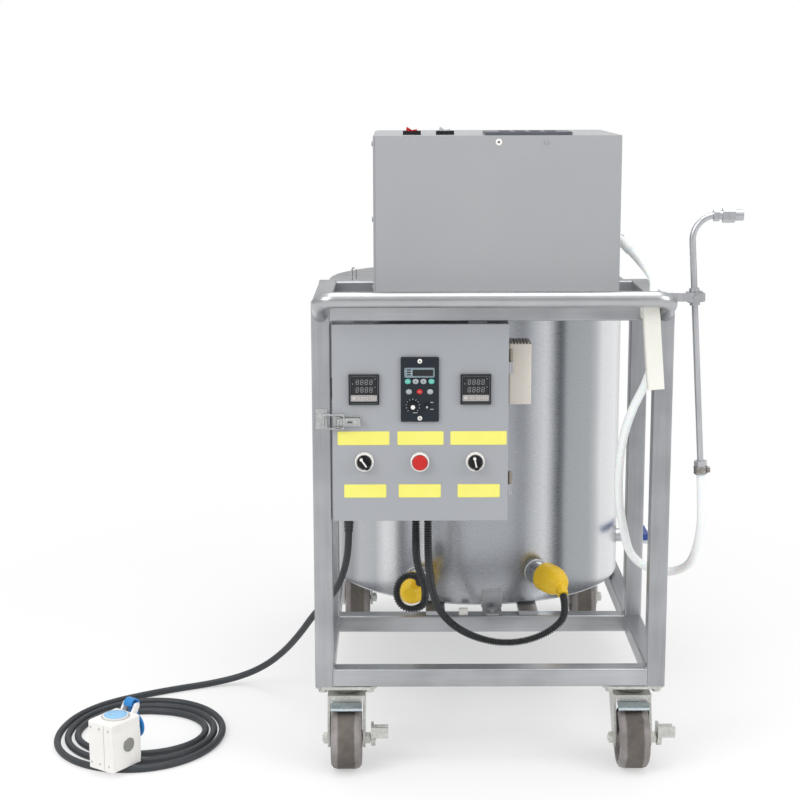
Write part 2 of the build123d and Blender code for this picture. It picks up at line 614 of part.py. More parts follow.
# Door: shallow pan with cut-outs, a rubber-gap behind it, hinged on its right edge
door_back = DOOR_FRONT + DOOR_DEPTH
door = block(CAB_LEFT, cab_right, DOOR_FRONT, door_back, CAB_BOTTOM, cab_top)
door = fillet(door.edges().filter_by(Axis.Z).group_by(Axis.Y)[0], 1.2)
door -= block(CAB_LEFT + CAB_SHEET, cab_right - CAB_SHEET, DOOR_FRONT + CAB_SHEET, door_back + 1,
              CAB_BOTTOM + CAB_SHEET, cab_top - CAB_SHEET)
left_x = cab_mid_x - 1 - CONTROL_PITCH
centre_x = cab_mid_x - 1
right_x = cab_mid_x - 1 + CONTROL_PITCH
for cx in (left_x, right_x):
    half = CONTROLLER_CUT / 2
    door -= block(cx - half, cx + half, DOOR_FRONT - 1, DOOR_FRONT + 3, CONTROL_Z - half, CONTROL_Z + half)
door -= block(centre_x - SPEED_W / 2 + 3, centre_x + SPEED_W / 2 - 3, DOOR_FRONT - 1, DOOR_FRONT + 3,
              CONTROL_Z - SPEED_H / 2 + 8, CONTROL_Z + SPEED_H / 2 - 8)
for cx in (left_x, centre_x, right_x):
    door -= rod_y(cx, DOOR_FRONT - 1, DOOR_FRONT + 3, SWITCH_Z, SWITCH_HOLE_D / 2)
hinge_axis_x = cab_right + HINGE_OUT
hinge_axis_y = (DOOR_FRONT + CAB_FRONT) / 2 + 1.5
hinge_levels = (cab_top - 60, CAB_BOTTOM + 59)
HINGE_HALF = 19.0
pin_r = HINGE_PIN_D / 2
barrel_r = pin_r + 1.6
fixed_leaves = []
door_leaves = []
for level in hinge_levels:
    leaf = block(cab_right, cab_right + 1.5, CAB_FRONT + 1, CAB_FRONT + 26,
                 level - HINGE_HALF, level + HINGE_HALF)
    leaf += block(cab_right + 0.2, hinge_axis_x, hinge_axis_y + 1.5, CAB_FRONT + 2,
                  level + 0.3, level + HINGE_HALF)
    leaf += rod_z(hinge_axis_x, hinge_axis_y, level + 0.3, level + HINGE_HALF, barrel_r)
    leaf += rod_z(hinge_axis_x, hinge_axis_y, level - HINGE_HALF, level + 0.3, pin_r)
    fixed_leaves.append(leaf)
    moving = block(cab_right, hinge_axis_x, DOOR_FRONT + 2, hinge_axis_y - 1, level - HINGE_HALF, level)
    moving += rod_z(hinge_axis_x, hinge_axis_y, level - HINGE_HALF, level, barrel_r)
    moving -= rod_z(hinge_axis_x, hinge_axis_y, level - HINGE_HALF - 1, level + 1, pin_r + RUN_GAP)
    door_leaves.append(moving)
for moving in door_leaves:
    door += moving
nodes["cabinet_door"] = one(door)
nodes["door_hinges"] = group(*fixed_leaves)

# Temperature controllers: bezel, four keys, and the case behind the door
BEZEL_OUT = 6.0
controllers = []
for cx in (left_x, right_x):
    half = CONTROLLER / 2
    bezel = block(cx - half, cx + half, DOOR_FRONT - BEZEL_OUT, DOOR_FRONT,
                  CONTROL_Z - half, CONTROL_Z + half)
    bezel = chamfer(bezel.faces().sort_by(Axis.Y)[0].edges(), 1.5)
    bezel -= block(cx - half + 4, cx + half - 4, DOOR_FRONT - BEZEL_OUT - 1, DOOR_FRONT - BEZEL_OUT + 1,
                   CONTROL_Z - 8, CONTROL_Z + half - 4)
    for key in range(4):
        kx = cx - 15.6 + 9.8 * key
        bezel += block(kx - 3.5, kx + 3.5, DOOR_FRONT - BEZEL_OUT - 0.8, DOOR_FRONT - BEZEL_OUT,
                       CONTROL_Z - half + 8, CONTROL_Z - half + 14)
    case_half = CONTROLLER_CUT / 2 - SLIP_GAP
    bezel += block(cx - case_half, cx + case_half, DOOR_FRONT, DOOR_FRONT + 80,
                   CONTROL_Z - case_half, CONTROL_Z + case_half)
    controllers.append(bezel)
nodes["temp_controllers"] = group(*controllers)

# Mixer speed controller: faceplate with display, keys and the case behind
FACE_OUT = 4.0
face_y = DOOR_FRONT - FACE_OUT
speed = block(centre_x - SPEED_W / 2, centre_x + SPEED_W / 2, face_y, DOOR_FRONT,
              CONTROL_Z - SPEED_H / 2, CONTROL_Z + SPEED_H / 2)
speed = fillet(speed.edges().filter_by(Axis.Y), 2)
speed -= block(centre_x - 24, centre_x + 23, face_y - 1, face_y + 0.8, CONTROL_Z + 19.5, CONTROL_Z + 34.5)
for row, count, pitch in ((CONTROL_Z + 13, 4, 12.4), (CONTROL_Z - 3.5, 3, 16.6)):
    for key in range(count):
        kx = centre_x - 0.3 + pitch * (key - (count - 1) / 2)
        speed += rod_y(kx, face_y - 1, face_y, row, 4)
for screw_z in (CONTROL_Z - SPEED_H / 2 + 6, CONTROL_Z + SPEED_H / 2 - 6):
    speed += rod_y(centre_x, face_y - 1.5, face_y, screw_z, 3)
speed += block(centre_x - SPEED_W / 2 + 4, centre_x + SPEED_W / 2 - 4, DOOR_FRONT, DOOR_FRONT + 60,
               CONTROL_Z - SPEED_H / 2 + 9, CONTROL_Z + SPEED_H / 2 - 9)
knob_x = centre_x - 11
toggle_x = centre_x + 11
low_row = CONTROL_Z - 26
KNOB_SHAFT_R = 3.0
TOGGLE_PIN_R = 0.9
speed -= rod_y(knob_x, face_y - 1, face_y + 12, low_row, KNOB_SHAFT_R + RUN_GAP)
speed += rod_y(toggle_x, face_y - 3, face_y, low_row, 4)
speed -= rod_y(toggle_x, face_y - 4, face_y + 6, low_row, 2.8)
speed -= rod_x(toggle_x - 4.5, toggle_x + 4.5, face_y + 1, low_row, TOGGLE_PIN_R + RUN_GAP)
nodes["speed_controller"] = one(speed)
knob = rod_y(knob_x, face_y - 12, face_y - SEAT_GAP, low_row, 7)
knob += rod_y(knob_x, face_y - 1, face_y + 11, low_row, KNOB_SHAFT_R)
knob += block(knob_x - 0.8, knob_x + 0.8, face_y - 12.6, face_y - 11, low_row, low_row + 6)
nodes["speed_knob"] = one(knob)
toggle = rod_y(toggle_x, face_y - 11, face_y + 2, low_row, 1.5)
toggle += Pos(toggle_x, face_y - 11, low_row) * Sphere(2)
toggle += rod_x(toggle_x - 4.2, toggle_x + 4.2, face_y + 1, low_row, TOGGLE_PIN_R)
nodes["speed_toggle"] = one(toggle)

# Two selector switches and the power button in their 22 mm bezels
RING_OUT = 5.0
bezels = []
for cx in (left_x, centre_x, right_x):
    ring = Cone(SWITCH_RING_D / 2, SWITCH_RING_D / 2 - 2, RING_OUT)
    ring = Pos(cx, DOOR_FRONT - RING_OUT / 2, SWITCH_Z) * Rot(90, 0, 0) * ring
    ring += rod_y(cx, DOOR_FRONT, DOOR_FRONT + 45, SWITCH_Z, SWITCH_HOLE_D / 2 - 0.2)
    ring += rod_y(cx, DOOR_FRONT + CAB_SHEET, DOOR_FRONT + CAB_SHEET + 5, SWITCH_Z, 14)
    ring -= rod_y(cx, DOOR_FRONT - RING_OUT - 1, DOOR_FRONT + 12, SWITCH_Z, 8.6)
    bezels.append(ring)
nodes["switch_bezels"] = group(*bezels)


def selector(cx, tilt):
    """Round selector knob with a raised pointer wing across its face."""
    core = rod_y(0, -RING_OUT - 3, 11.5, 0, 8.5)
    core += rod_y(0, -RING_OUT - 3, -RING_OUT - SEAT_GAP, 0, 11)
    wing = block(-3, 3, -RING_OUT - 13, -RING_OUT - 3, -11, 11)
    core += fillet(wing.edges().filter_by(Axis.Y), 2.5)
    return one(Pos(cx, DOOR_FRONT, SWITCH_Z) * Rot(0, tilt, 0) * core)


SELECTOR_TILT_LEFT = -35.0
SELECTOR_TILT_RIGHT = -12.0
nodes["selector_left"] = selector(left_x, SELECTOR_TILT_LEFT)
nodes["selector_right"] = selector(right_x, SELECTOR_TILT_RIGHT)
BUTTON_TRAVEL = 4.0
button = rod_y(centre_x, DOOR_FRONT - RING_OUT - 4, DOOR_FRONT + 7, SWITCH_Z, 8.5)
cap_back = DOOR_FRONT - RING_OUT - BUTTON_TRAVEL - 0.5
cap_disc = rod_y(centre_x, cap_back - 3.5, cap_back, SWITCH_Z, 11.8)
cap_disc = fillet(cap_disc.edges().group_by(Axis.Y)[0], 1.5)
button += cap_disc + rod_y(centre_x, DOOR_FRONT - RING_OUT - 5, DOOR_FRONT - RING_OUT - 3, SWITCH_Z, 8.5)
nodes["power_button"] = one(button)

# Toggle latch: base and lever on the door, wire bail, strike on the left post
latch_left = CAB_LEFT + 1
latch_y = DOOR_FRONT - LATCH_PIVOT_OUT
pivot_x = latch_left + 8
BAIL_D = 2.5
LATCH_PIN_R = 1.5
base = block(latch_left, latch_left + 44, DOOR_FRONT - 1.5, DOOR_FRONT, LATCH_Z - 8.5, LATCH_Z + 8.5)
for ear_z in (LATCH_Z - 8.5, LATCH_Z + 7):
    base += block(pivot_x - 4, pivot_x + 4, latch_y - 4, DOOR_FRONT, ear_z, ear_z + 1.5)
base += rod_z(pivot_x, latch_y, LATCH_Z - 8.5, LATCH_Z + 8.5, LATCH_PIN_R)
nodes["latch_base"] = one(base)
lever_half = 6.0
bail_pivot_x = pivot_x + 9
latch_lever = rod_z(pivot_x, latch_y, LATCH_Z - lever_half, LATCH_Z + lever_half, 3.2)
latch_lever += block(pivot_x, latch_left + 43, latch_y - 1, latch_y + 1,
                     LATCH_Z - lever_half, LATCH_Z + lever_half)
latch_lever += rod_z(bail_pivot_x, latch_y, LATCH_Z - lever_half, LATCH_Z + lever_half, 2.6)
latch_lever += block(latch_left + 41, latch_left + 43, latch_y - 5, latch_y,
                     LATCH_Z - lever_half, LATCH_Z + lever_half)
latch_lever -= block(pivot_x + 15, pivot_x + 23, latch_y - 3, latch_y + 3, LATCH_Z - 2, LATCH_Z + 2)
latch_lever -= rod_z(pivot_x, latch_y, LATCH_Z - 9, LATCH_Z + 9, LATCH_PIN_R + RUN_GAP)
latch_lever -= rod_z(bail_pivot_x, latch_y, LATCH_Z - 9, LATCH_Z + 9, BAIL_D / 2 + RUN_GAP)
nodes["latch_lever"] = one(latch_lever)
BAIL_HALF = 11.0
bail_left = CAB_LEFT - 13.5
bail_points = [(bail_pivot_x, latch_y, LATCH_Z - 2), (bail_pivot_x, latch_y, LATCH_Z - BAIL_HALF),
               (bail_left, latch_y, LATCH_Z - BAIL_HALF), (bail_left, latch_y, LATCH_Z + BAIL_HALF),
               (bail_pivot_x, latch_y, LATCH_Z + BAIL_HALF), (bail_pivot_x, latch_y, LATCH_Z + 2)]
bail_path = FilletPolyline(*bail_points, radius=2.6)
bail = sweep(Plane(origin=bail_path @ 0, z_dir=bail_path % 0) * Circle(BAIL_D / 2), bail_path)
nodes["latch_bail"] = one(bail)
strike_x = bail_left + BAIL_D / 2 + 2
strike = block(-inner_x - 24, -inner_x - 6, -1.5, 0, LATCH_Z - 13, LATCH_Z + 19)
strike += block(strike_x, strike_x + 2, latch_y - 3, 0, LATCH_Z - 6, LATCH_Z + 6)
for screw_z in (LATCH_Z - 8, LATCH_Z + 14):
    strike += Pos(-inner_x - 18, -1.5, screw_z) * Rot(90, 0, 0) * Cylinder(3, 2)
nodes["latch_strike"] = one(strike)

# Cream supply breaker on the cabinet's right side, with ribs on its top
BREAKER_W = 36.0
breaker_x = cab_right + 2
breaker = block(breaker_x, breaker_x + BREAKER_W, 26, 86, cab_top - 133, cab_top - 36)
breaker = fillet(breaker.edges().filter_by(Axis.Z), 3)
breaker += block(cab_right, breaker_x + 1, 34, 78, cab_top - 120, cab_top - 50)
for rib in range(6):
    rx = breaker_x + 5 + 5 * rib
    breaker += block(rx, rx + 2, 30, 82, cab_top - 37, cab_top - 34)
nodes["breaker_box"] = one(breaker)

# Inside the cabinet: a rail with two contactors, a relay and the terminal strip
gear_back = cab_back - CAB_SHEET
rail_z = CAB_BOTTOM + 84
gear = [block(cab_mid_x - 115, cab_mid_x + 115, gear_back - 7, gear_back, rail_z - 17, rail_z + 17)]
for gx, gw, gh, gd in ((-85, 46, 80, 50), (-33, 46, 80, 50), (16, 30, 66, 44), (66, 56, 52, 38)):
    gear.append(block(cab_mid_x + gx - gw / 2, cab_mid_x + gx + gw / 2, gear_back - 7 - gd, gear_back - 7,
                      rail_z - gh / 2, rail_z + gh / 2))
nodes["control_gear"] = group(*gear)

# Pump housing: folded box standing on the top ring, open below, with two cover plates
house_left = HOUSING_CENTRE_X - HOUSING_W / 2
house_right = HOUSING_CENTRE_X + HOUSING_W / 2
house_back = HOUSING_FRONT + HOUSING_DEPTH
house_top = FRAME_TOP + HOUSING_H
WINDOW = 16.0
HOSE_PORT_Y = 70.0
HOSE_PORT_Z = 865.0
HOSE_PORT_R = 12.0
housing = block(house_left, house_right, HOUSING_FRONT, house_back, FRAME_TOP, house_top)
housing = fillet(housing.edges().filter_by(Axis.Z).group_by(Axis.Y)[0], 2.5)
housing -= block(house_left + HOUSING_SHEET, house_right - HOUSING_SHEET, HOUSING_FRONT + HOUSING_SHEET,
                 house_back - HOUSING_SHEET, FRAME_TOP - 1, house_top - HOUSING_SHEET)
for flange_y in (HOUSING_FRONT + 1, house_back - 13):
    housing += block(house_left + 1, house_right - 1, flange_y, flange_y + 12, FRAME_TOP, FRAME_TOP + 1.5)
housing -= block(house_left - 1, house_left + 3, HOUSING_FRONT + WINDOW, house_back - WINDOW,
                 FRAME_TOP + WINDOW, house_top - WINDOW)
housing -= block(house_left + WINDOW, house_right - WINDOW, house_back - 3, house_back + 1,
                 FRAME_TOP + WINDOW, house_top - WINDOW)
housing -= rod_x(house_right - 3, house_right + 1, HOSE_PORT_Y, HOSE_PORT_Z, HOSE_PORT_R)
rocker_spots = {"rocker_red": -126.0, "rocker_pale": -74.0}
for rx in rocker_spots.values():
    housing -= block(rx - ROCKER_W / 2 + 2, rx + ROCKER_W / 2 - 2, ROCKER_Y - ROCKER_D / 2 + 2,
                     ROCKER_Y + ROCKER_D / 2 - 2, house_top - 3, house_top + 1)
PANEL_X = 54.5
housing -= block(PANEL_X - PANEL_W / 2 + 8, PANEL_X + PANEL_W / 2 - 8, ROCKER_Y - PANEL_D / 2 + 8,
                 ROCKER_Y + PANEL_D / 2 - 8, house_top - 3, house_top + 1)
nodes["pump_housing"] = one(housing)

COVER_THICK = 3.0
side_cover = block(house_left - COVER_THICK, house_left, HOUSING_FRONT + 2, house_back - 2,
                   FRAME_TOP + 2, house_top - 1)
rear_cover = block(house_left + 6, house_right - 6, house_back, house_back + COVER_THICK,
                   FRAME_TOP + 6, house_top - 6)
for level in range(6):
    slot_z = FRAME_TOP + 60 + 14 * level
    rear_cover -= block(-120, -40, house_back - 1, house_back + COVER_THICK + 1, slot_z, slot_z + 5)
SUCTION_Z = 842.0
rear_cover -= rod_y(SUCTION_X, house_back - 1, house_back + COVER_THICK + 1, SUCTION_Z, SUCTION_R + 3)
for sy in (HOUSING_FRONT + 10, house_back - 10):
    for sz in (FRAME_TOP + 22, FRAME_TOP + HOUSING_H / 2, house_top - 12):
        side_cover += rod_x(house_left - COVER_THICK - 2, house_left - COVER_THICK, sy, sz, 4)
for sx in (house_left + 14, HOUSING_CENTRE_X, house_right - 14):
    for sz in (FRAME_TOP + 14, house_top - 14):
        rear_cover += rod_y(sx, house_back + COVER_THICK, house_back + COVER_THICK + 2, sz, 4)
front_screw = rod_y(81, HOUSING_FRONT - 1.5, HOUSING_FRONT, house_top - 10, 3)
nodes["housing_covers"] = group(side_cover, rear_cover, front_screw)

# Rocker switches on the housing's top and the flat key panel beside them
PADDLE_R = 2.0
rocker_axis_z = house_top + 4
bezel_solids = []
for name, rx in rocker_spots.items():
    rim = block(rx - ROCKER_W / 2, rx + ROCKER_W / 2, ROCKER_Y - ROCKER_D / 2, ROCKER_Y + ROCKER_D / 2,
                house_top, house_top + 6)
    rim += block(rx - ROCKER_W / 2 + 2.3, rx + ROCKER_W / 2 - 2.3, ROCKER_Y - ROCKER_D / 2 + 2.3,
                 ROCKER_Y + ROCKER_D / 2 - 2.3, house_top - 24, house_top)
    rim -= block(rx - ROCKER_W / 2 + 3.5, rx + ROCKER_W / 2 - 3.5, ROCKER_Y - ROCKER_D / 2 + 3.5,
                 ROCKER_Y + ROCKER_D / 2 - 3.5, house_top - 6, house_top + 7)
    rim -= rod_y(rx, ROCKER_Y - ROCKER_D / 2 + 1.5, ROCKER_Y + ROCKER_D / 2 - 1.5, rocker_axis_z,
                 PADDLE_R + RUN_GAP)
    bezel_solids.append(rim)
    half_w_paddle = ROCKER_W / 2 - 5
    half_d_paddle = ROCKER_D / 2 - 4
    outline = Polyline((-half_w_paddle, 0), (-half_w_paddle, 3), (-half_w_paddle + 1, 8.5), (0, 3.2),
                       (half_w_paddle - 1, 4.5), (half_w_paddle, -2), (0, -4.5), close=True)
    paddle = extrude(make_face(Plane.XZ * outline), 2 * half_d_paddle, dir=(0, -1, 0))
    paddle = Pos(rx, ROCKER_Y + half_d_paddle, rocker_axis_z) * paddle
    paddle += rod_y(rx, ROCKER_Y - half_d_paddle - 2, ROCKER_Y + half_d_paddle + 2, rocker_axis_z, PADDLE_R)
    nodes[name] = one(paddle)
nodes["rocker_bezels"] = group(*bezel_solids)
panel = block(PANEL_X - PANEL_W / 2, PANEL_X + PANEL_W / 2, ROCKER_Y - PANEL_D / 2, ROCKER_Y + PANEL_D / 2,
              house_top, house_top + PANEL_THICK)
panel = fillet(panel.edges().filter_by(Axis.Z), 4)
panel += block(PANEL_X - PANEL_W / 2 + 8.3, PANEL_X + PANEL_W / 2 - 8.3, ROCKER_Y - PANEL_D / 2 + 8.3,
               ROCKER_Y + PANEL_D / 2 - 8.3, house_top - 20, house_top)
for row in (-14, 8):
    for key in range(4):
        kx = PANEL_X - 36 + 24 * key
        panel += block(kx - 8, kx + 8, ROCKER_Y + row - 7, ROCKER_Y + row + 7,
                       house_top + PANEL_THICK, house_top + PANEL_THICK + 1.2)
nodes["key_panel"] = one(panel)

# Dispensing pump inside the housing: base plate, gear head, motor, suction pipe and outlet
base_z = FRAME_TOP + 1.5
PUMP_W = 60.0
pump_x = house_right - 19.5 - PUMP_W / 2
pump_left = pump_x - PUMP_W / 2
pump_right = pump_x + PUMP_W / 2
pump = block(-60, house_right - 8, HOUSING_FRONT + 4, house_back - 4, base_z, base_z + 4)
pump += block(pump_left, pump_right, 50, 230, base_z + 4, HOSE_PORT_Z - 34)
pump += block(pump_left - 2, pump_right + 2, HOSE_PORT_Y - 26, HOSE_PORT_Y + 26,
              HOSE_PORT_Z - 36, HOSE_PORT_Z + 30)
pump += rod_y(pump_x, HOSE_PORT_Y + 26, HOSE_PORT_Y + 46, HOSE_PORT_Z, 30)
pump += rod_y(pump_x, HOSE_PORT_Y + 46, HOSE_PORT_Y + 170, HOSE_PORT_Z, 38)
ELBOW_X = house_right + 8.5
ELBOW_OUT = 22.0
elbow_line = Vector(0.62, -0.4, -0.67).normalized()
elbow_at = Vector(ELBOW_X, HOSE_PORT_Y, HOSE_PORT_Z)
hose_start = elbow_at + elbow_line * ELBOW_OUT
barb = rod_x(pump_right, ELBOW_X, HOSE_PORT_Y, HOSE_PORT_Z, 8)
barb += Pos(*elbow_at) * Sphere(8)
barb += Plane(origin=elbow_at, z_dir=elbow_line) * Pos(0, 0, ELBOW_OUT / 2) * Cylinder(8, ELBOW_OUT)
pump += barb
suction_points = [(pump_left, HOSE_PORT_Y, SUCTION_Z), (SUCTION_X, HOSE_PORT_Y, SUCTION_Z),
                  (SUCTION_X, SUCTION_Y, SUCTION_Z), (SUCTION_X, SUCTION_Y, SHAFT_LOW + 20)]
suction_path = FilletPolyline(*suction_points, radius=30)
suction_start = Plane(origin=suction_path @ 0, z_dir=suction_path % 0)
suction = sweep(suction_start * Circle(SUCTION_R - 0.3), suction_path)
pump += suction
nodes["dispensing_pump"] = one(pump)

# Lance: slanted tube in a swivel clamp, bent over to a nozzle that points right
foot_x, foot_z = LANCE_FOOT
bend_x, bend_z = LANCE_BEND
lean = degrees(atan2(foot_x - bend_x, bend_z - foot_z))
lance_points = [(foot_x, LANCE_Y, foot_z), (bend_x, LANCE_Y, bend_z), (LANCE_NOSE_X - 4, LANCE_Y, bend_z)]
lance_path = FilletPolyline(*lance_points, radius=LANCE_BEND_R)
lance_plane = Plane(origin=lance_path @ 0, z_dir=lance_path % 0)
lance = sweep(lance_plane * Circle(LANCE_D / 2), lance_path)
nose_start = LANCE_NOSE_X - 46
for x0, x1, across in ((nose_start, nose_start + 9, 17), (nose_start + 14, nose_start + 33, 21)):
    lance += hex_x(x0, x1, LANCE_Y, bend_z, across)
lance += rod_x(nose_start + 8, nose_start + 15, LANCE_Y, bend_z, 7)
lance += rod_x(nose_start + 32, LANCE_NOSE_X, LANCE_Y, bend_z, 9)
CLAMP_Z = 780.0
clamp_x = foot_x - (CLAMP_Z - foot_z) * (foot_x - bend_x) / (bend_z - foot_z)
at_clamp = Pos(clamp_x, LANCE_Y, CLAMP_Z) * Rot(0, -lean, 0)
CLAMP_HALF = 8.0
for side in (-1, 1):
    z0 = side * (CLAMP_HALF + SEAT_GAP)
    lance += at_clamp * rod_z(0, 0, min(z0, z0 + side * 5), max(z0, z0 + side * 5), 8)
lance += lance_plane * hex_z(0, 0, -FOOT_NUT_DROP, 4, 18)
foot_axis = lance_path % 0
nut_face = lance_path @ 0 - foot_axis * FOOT_NUT_DROP
bore_low = nut_face - foot_axis * 2
bore_path = FilletPolyline(tuple(bore_low), lance_points[1], (LANCE_NOSE_X + 2, LANCE_Y, bend_z),
                           radius=LANCE_BEND_R)
lance -= sweep(Plane(origin=bore_low, z_dir=foot_axis) * Circle(LANCE_BORE / 2), bore_path)
nodes["lance"] = one(lance)
clamp = at_clamp * block(-12, 12, -11, 9, -CLAMP_HALF, CLAMP_HALF)
clamp -= at_clamp * rod_z(0, 0, -20, 20, LANCE_D / 2 + RUN_GAP)
bar = block(tube_mid_x - 8, clamp_x + 14, LANCE_Y - 16, LANCE_Y - 11, CLAMP_Z - 6, CLAMP_Z + 7)
foot_plate = block(tube_mid_x - 8, half_w - 1, 2, TUBE - 3, FRAME_TOP, FRAME_TOP + 3)
foot_plate += block(tube_mid_x - 8, half_w - 1, LANCE_Y - 16, LANCE_Y - 8, FRAME_TOP, CLAMP_Z + 7)
bracket = clamp + bar + foot_plate
bracket += rod_y(clamp_x, LANCE_Y - 19, LANCE_Y - 15, CLAMP_Z, 4.5)
bracket -= at_clamp * rod_z(0, 0, -40, 40, LANCE_D / 2 + RUN_GAP)
nodes["lance_bracket"] = one(bracket)

# Ivory hose guard: a channel open to the back, held on the front top rail by two tabs
GUARD_W = 26.0
GUARD_DEPTH = 16.0
GUARD_WALL = 2.0
GUARD_FRONT = -35.0
GUARD_LENGTH = 150.0
GUARD_TOP = (241.0, 790.0)
GUARD_LEAN = 4.8
channel = block(-GUARD_W / 2, GUARD_W / 2, 0, GUARD_DEPTH, -GUARD_LENGTH, 0)
channel = fillet(channel.edges().filter_by(Axis.Z).group_by(Axis.Y)[0], 3)
channel -= block(-GUARD_W / 2 + GUARD_WALL, GUARD_W / 2 - GUARD_WALL, GUARD_WALL, GUARD_DEPTH + 1,
                 -GUARD_LENGTH - 1, 1)
for side in (-1, 1):
    x0 = side * (GUARD_W / 2 - GUARD_WALL)
    x1 = side * GUARD_W / 2
    channel += block(min(x0, x1), max(x0, x1), GUARD_DEPTH - 1, -GUARD_FRONT, -40, -24)
guard = Pos(GUARD_TOP[0], GUARD_FRONT, GUARD_TOP[1]) * Rot(0, -GUARD_LEAN, 0) * channel
nodes["hose_guard"] = one(guard)

# Hose from the pump's elbow through the guard and round to the lance's foot
hose_points = [tuple(hose_start), tuple(hose_start + elbow_line * 38), (254.5, 2, 803), (241.5, -24, 765),
               (246, -24.5, 712), (249, -14, 676), (241, 0, 642), (224, 12, 604), (211, 30, 550),
               (208, 46, 492), (212, 62, 434), (224, 80, 378), (236, 91, 338), (266, 89, 315),
               (301, 75, 312), (328, 54, 330), (336, 35, 362), (339.5, 20, 402),
               tuple(nut_face - foot_axis * 46), tuple(nut_face)]
nodes["wax_hose"] = cord_tube("wax_hose", hose_points, HOSE_D)
cord_nodes.append("wax_hose")

# Corrugated heater conduits out of the cabinet's glands
right_exit = (*conduit_exits["right"], gland_low)
right_points = [right_exit, (-100, 96, 358), (-98, 112, 310), (-92, 140, 262), (-80, 165, 220),
                (-54, 186, 184), (-16, 202, 158), (28, 206, 146), (74, 204, 150), (118, 206, 168),
                tuple(nose_end + nose_line * 41), tuple(nose_end)]
nodes["conduit_right"] = cord_tube("conduit_right", right_points, CONDUIT_D)
left_exit = (*conduit_exits["left"], gland_low)
left_points = [left_exit, (-120, 112, 366), (-119, 138, 322), (-114, 172, 282), (-108, 200, 244),
               (-108, 219, 195), (-152, 223, 195), (-152, 227, 239), (-112, 230, 239), left_entry]
nodes["conduit_left"] = cord_tube("conduit_left", left_points, CONDUIT_D)
cord_nodes += ["conduit_right", "conduit_left"]

# Supply cord: hangs out of the left bay to the floor and runs into the coil
COIL_Z = CORD_D / 2
coil_start = Vector(-612, 334, COIL_Z)
cord_points = [(*supply_exit, gland_low), (-232, 120, 356), (-238, 140, 308), (-252, 172, 262),
               (-274, 212, 222), (-300, 252, 184), (-326, 294, 136), (-358, 336, 88),
               (-398, 378, 44), (-446, 401, 15), (-502, 388, COIL_Z), (-558, 363, COIL_Z), tuple(coil_start)]
hanging = cord_tube("power_cord", cord_points, CORD_D)
run_in = (coil_start - Vector(-558, 363, COIL_Z)).normalized()


def biarc(p0, t0, p1, t1):
    """Two arcs that leave p0 along t0 and reach p1 along t1."""
    span = p1 - p0
    both = t0 + t1
    a = 2 * (t0.dot(t1) - 1)
    b = -2 * span.dot(both)
    reach = (-b - sqrt(b * b - 4 * a * span.dot(span))) / (2 * a)
    middle = (p0 + p1 + (t0 - t1) * reach) * 0.5
    heading = ((p1 - t1 * reach) - (p0 + t0 * reach)).normalized()
    return [TangentArc(p0, middle, tangent=t0), TangentArc(middle, p1, tangent=heading)]


left = Vector(0, -1, 0)
front = Vector(1, 0, 0)
right = Vector(0, 1, 0)
back = Vector(-1, 0, 0)
coil_stops = [((-738, 134), left), ((-595, -15), front), ((-453, 146), right), ((-588, 302), back),
              ((-722, 146), left), ((-595, 17), front), ((-468, 148), right), ((-588, 275), back),
              ((-706, 150), left), ((-595, 50), front), ((-483, 150), right), ((-588, 249), back)]
at = coil_start + run_in * CORD_D
way = run_in
coil_edges = [Line(coil_start, at)]
for (px, py), heading in coil_stops:
    stop = Vector(px, py, COIL_Z)
    coil_edges += biarc(at, way, stop, heading)
    at, way = stop, heading
coil_end = at + way * CORD_D
coil_edges.append(Line(at, coil_end))
coil_path = Wire([edge.edge() for edge in coil_edges])
coil = sweep(Plane(origin=coil_start, z_dir=run_in) * Circle(CORD_D / 2), coil_path)
coil_steps = 360
coil_spots = [coil_path @ (i / coil_steps) for i in range(coil_steps + 1)]
coil_step = coil_path.length / coil_steps
apart = int(80 / coil_step)
least = min((coil_spots[i] - coil_spots[j]).length for i in range(coil_steps + 1)
            for j in range(i + apart, coil_steps + 1))
print("coil length", round(coil_path.length), "least gap to itself", round(least - CORD_D, 2),
      "volume ratio", round(coil.volume / (pi * (CORD_D / 2) ** 2 * coil_path.length), 4))

# Socket box on the coil's front turns, its cord entry, lid and hinged flap
PLUG_LONG = 67.0
PLUG_WIDE = 54.0
PLUG_H = 81.0
PLUG_Z = CORD_D
PLUG_YAW = 54.7
FLAP_PIN_R = 2.0
plug_at = Pos(-615.3, -1.5, PLUG_Z) * Rot(0, 0, PLUG_YAW)
plug = block(-PLUG_LONG / 2, PLUG_LONG / 2, -PLUG_WIDE / 2, PLUG_WIDE / 2, 0, PLUG_H)
plug = fillet(plug.edges().filter_by(Axis.Z), 4)
plug = chamfer(plug.faces().sort_by(Axis.Z)[-1].edges(), 2.5)
plug -= rod_y(4, -PLUG_WIDE / 2 - 1, -PLUG_WIDE / 2 + 3, 38, 12)
plug += rod_y(4, -PLUG_WIDE / 2 + 1.5, -PLUG_WIDE / 2 + 4, 38, 11)
plug += rod_z(4, 0, PLUG_H - 1, PLUG_H + 2.5, 21)
flap_x = PLUG_LONG / 2 + 8
flap_z = PLUG_H + 9
for side in (-1, 1):
    y0 = side * 10
    y1 = side * 14
    lug_side = make_face(Plane.XZ * Polyline((PLUG_LONG / 2 - 8, PLUG_H - 4), (PLUG_LONG / 2, PLUG_H - 10),
                                             (flap_x + 4, flap_z - 3), (flap_x + 4, flap_z + 4),
                                             (flap_x - 4, flap_z + 4), close=True))
    plug += Pos(0, max(y0, y1), 0) * extrude(lug_side, 4, dir=(0, -1, 0))
plug += rod_y(flap_x, -12, 12, flap_z, FLAP_PIN_R)
plug_solid = plug_at * plug
entry = (-618.0, 58.0, 40.0)
plug_solid += rod_y(entry[0], 20, entry[1], entry[2], 9)
nodes["plug_body"] = one(plug_solid)
flap_reach = flap_x - 4
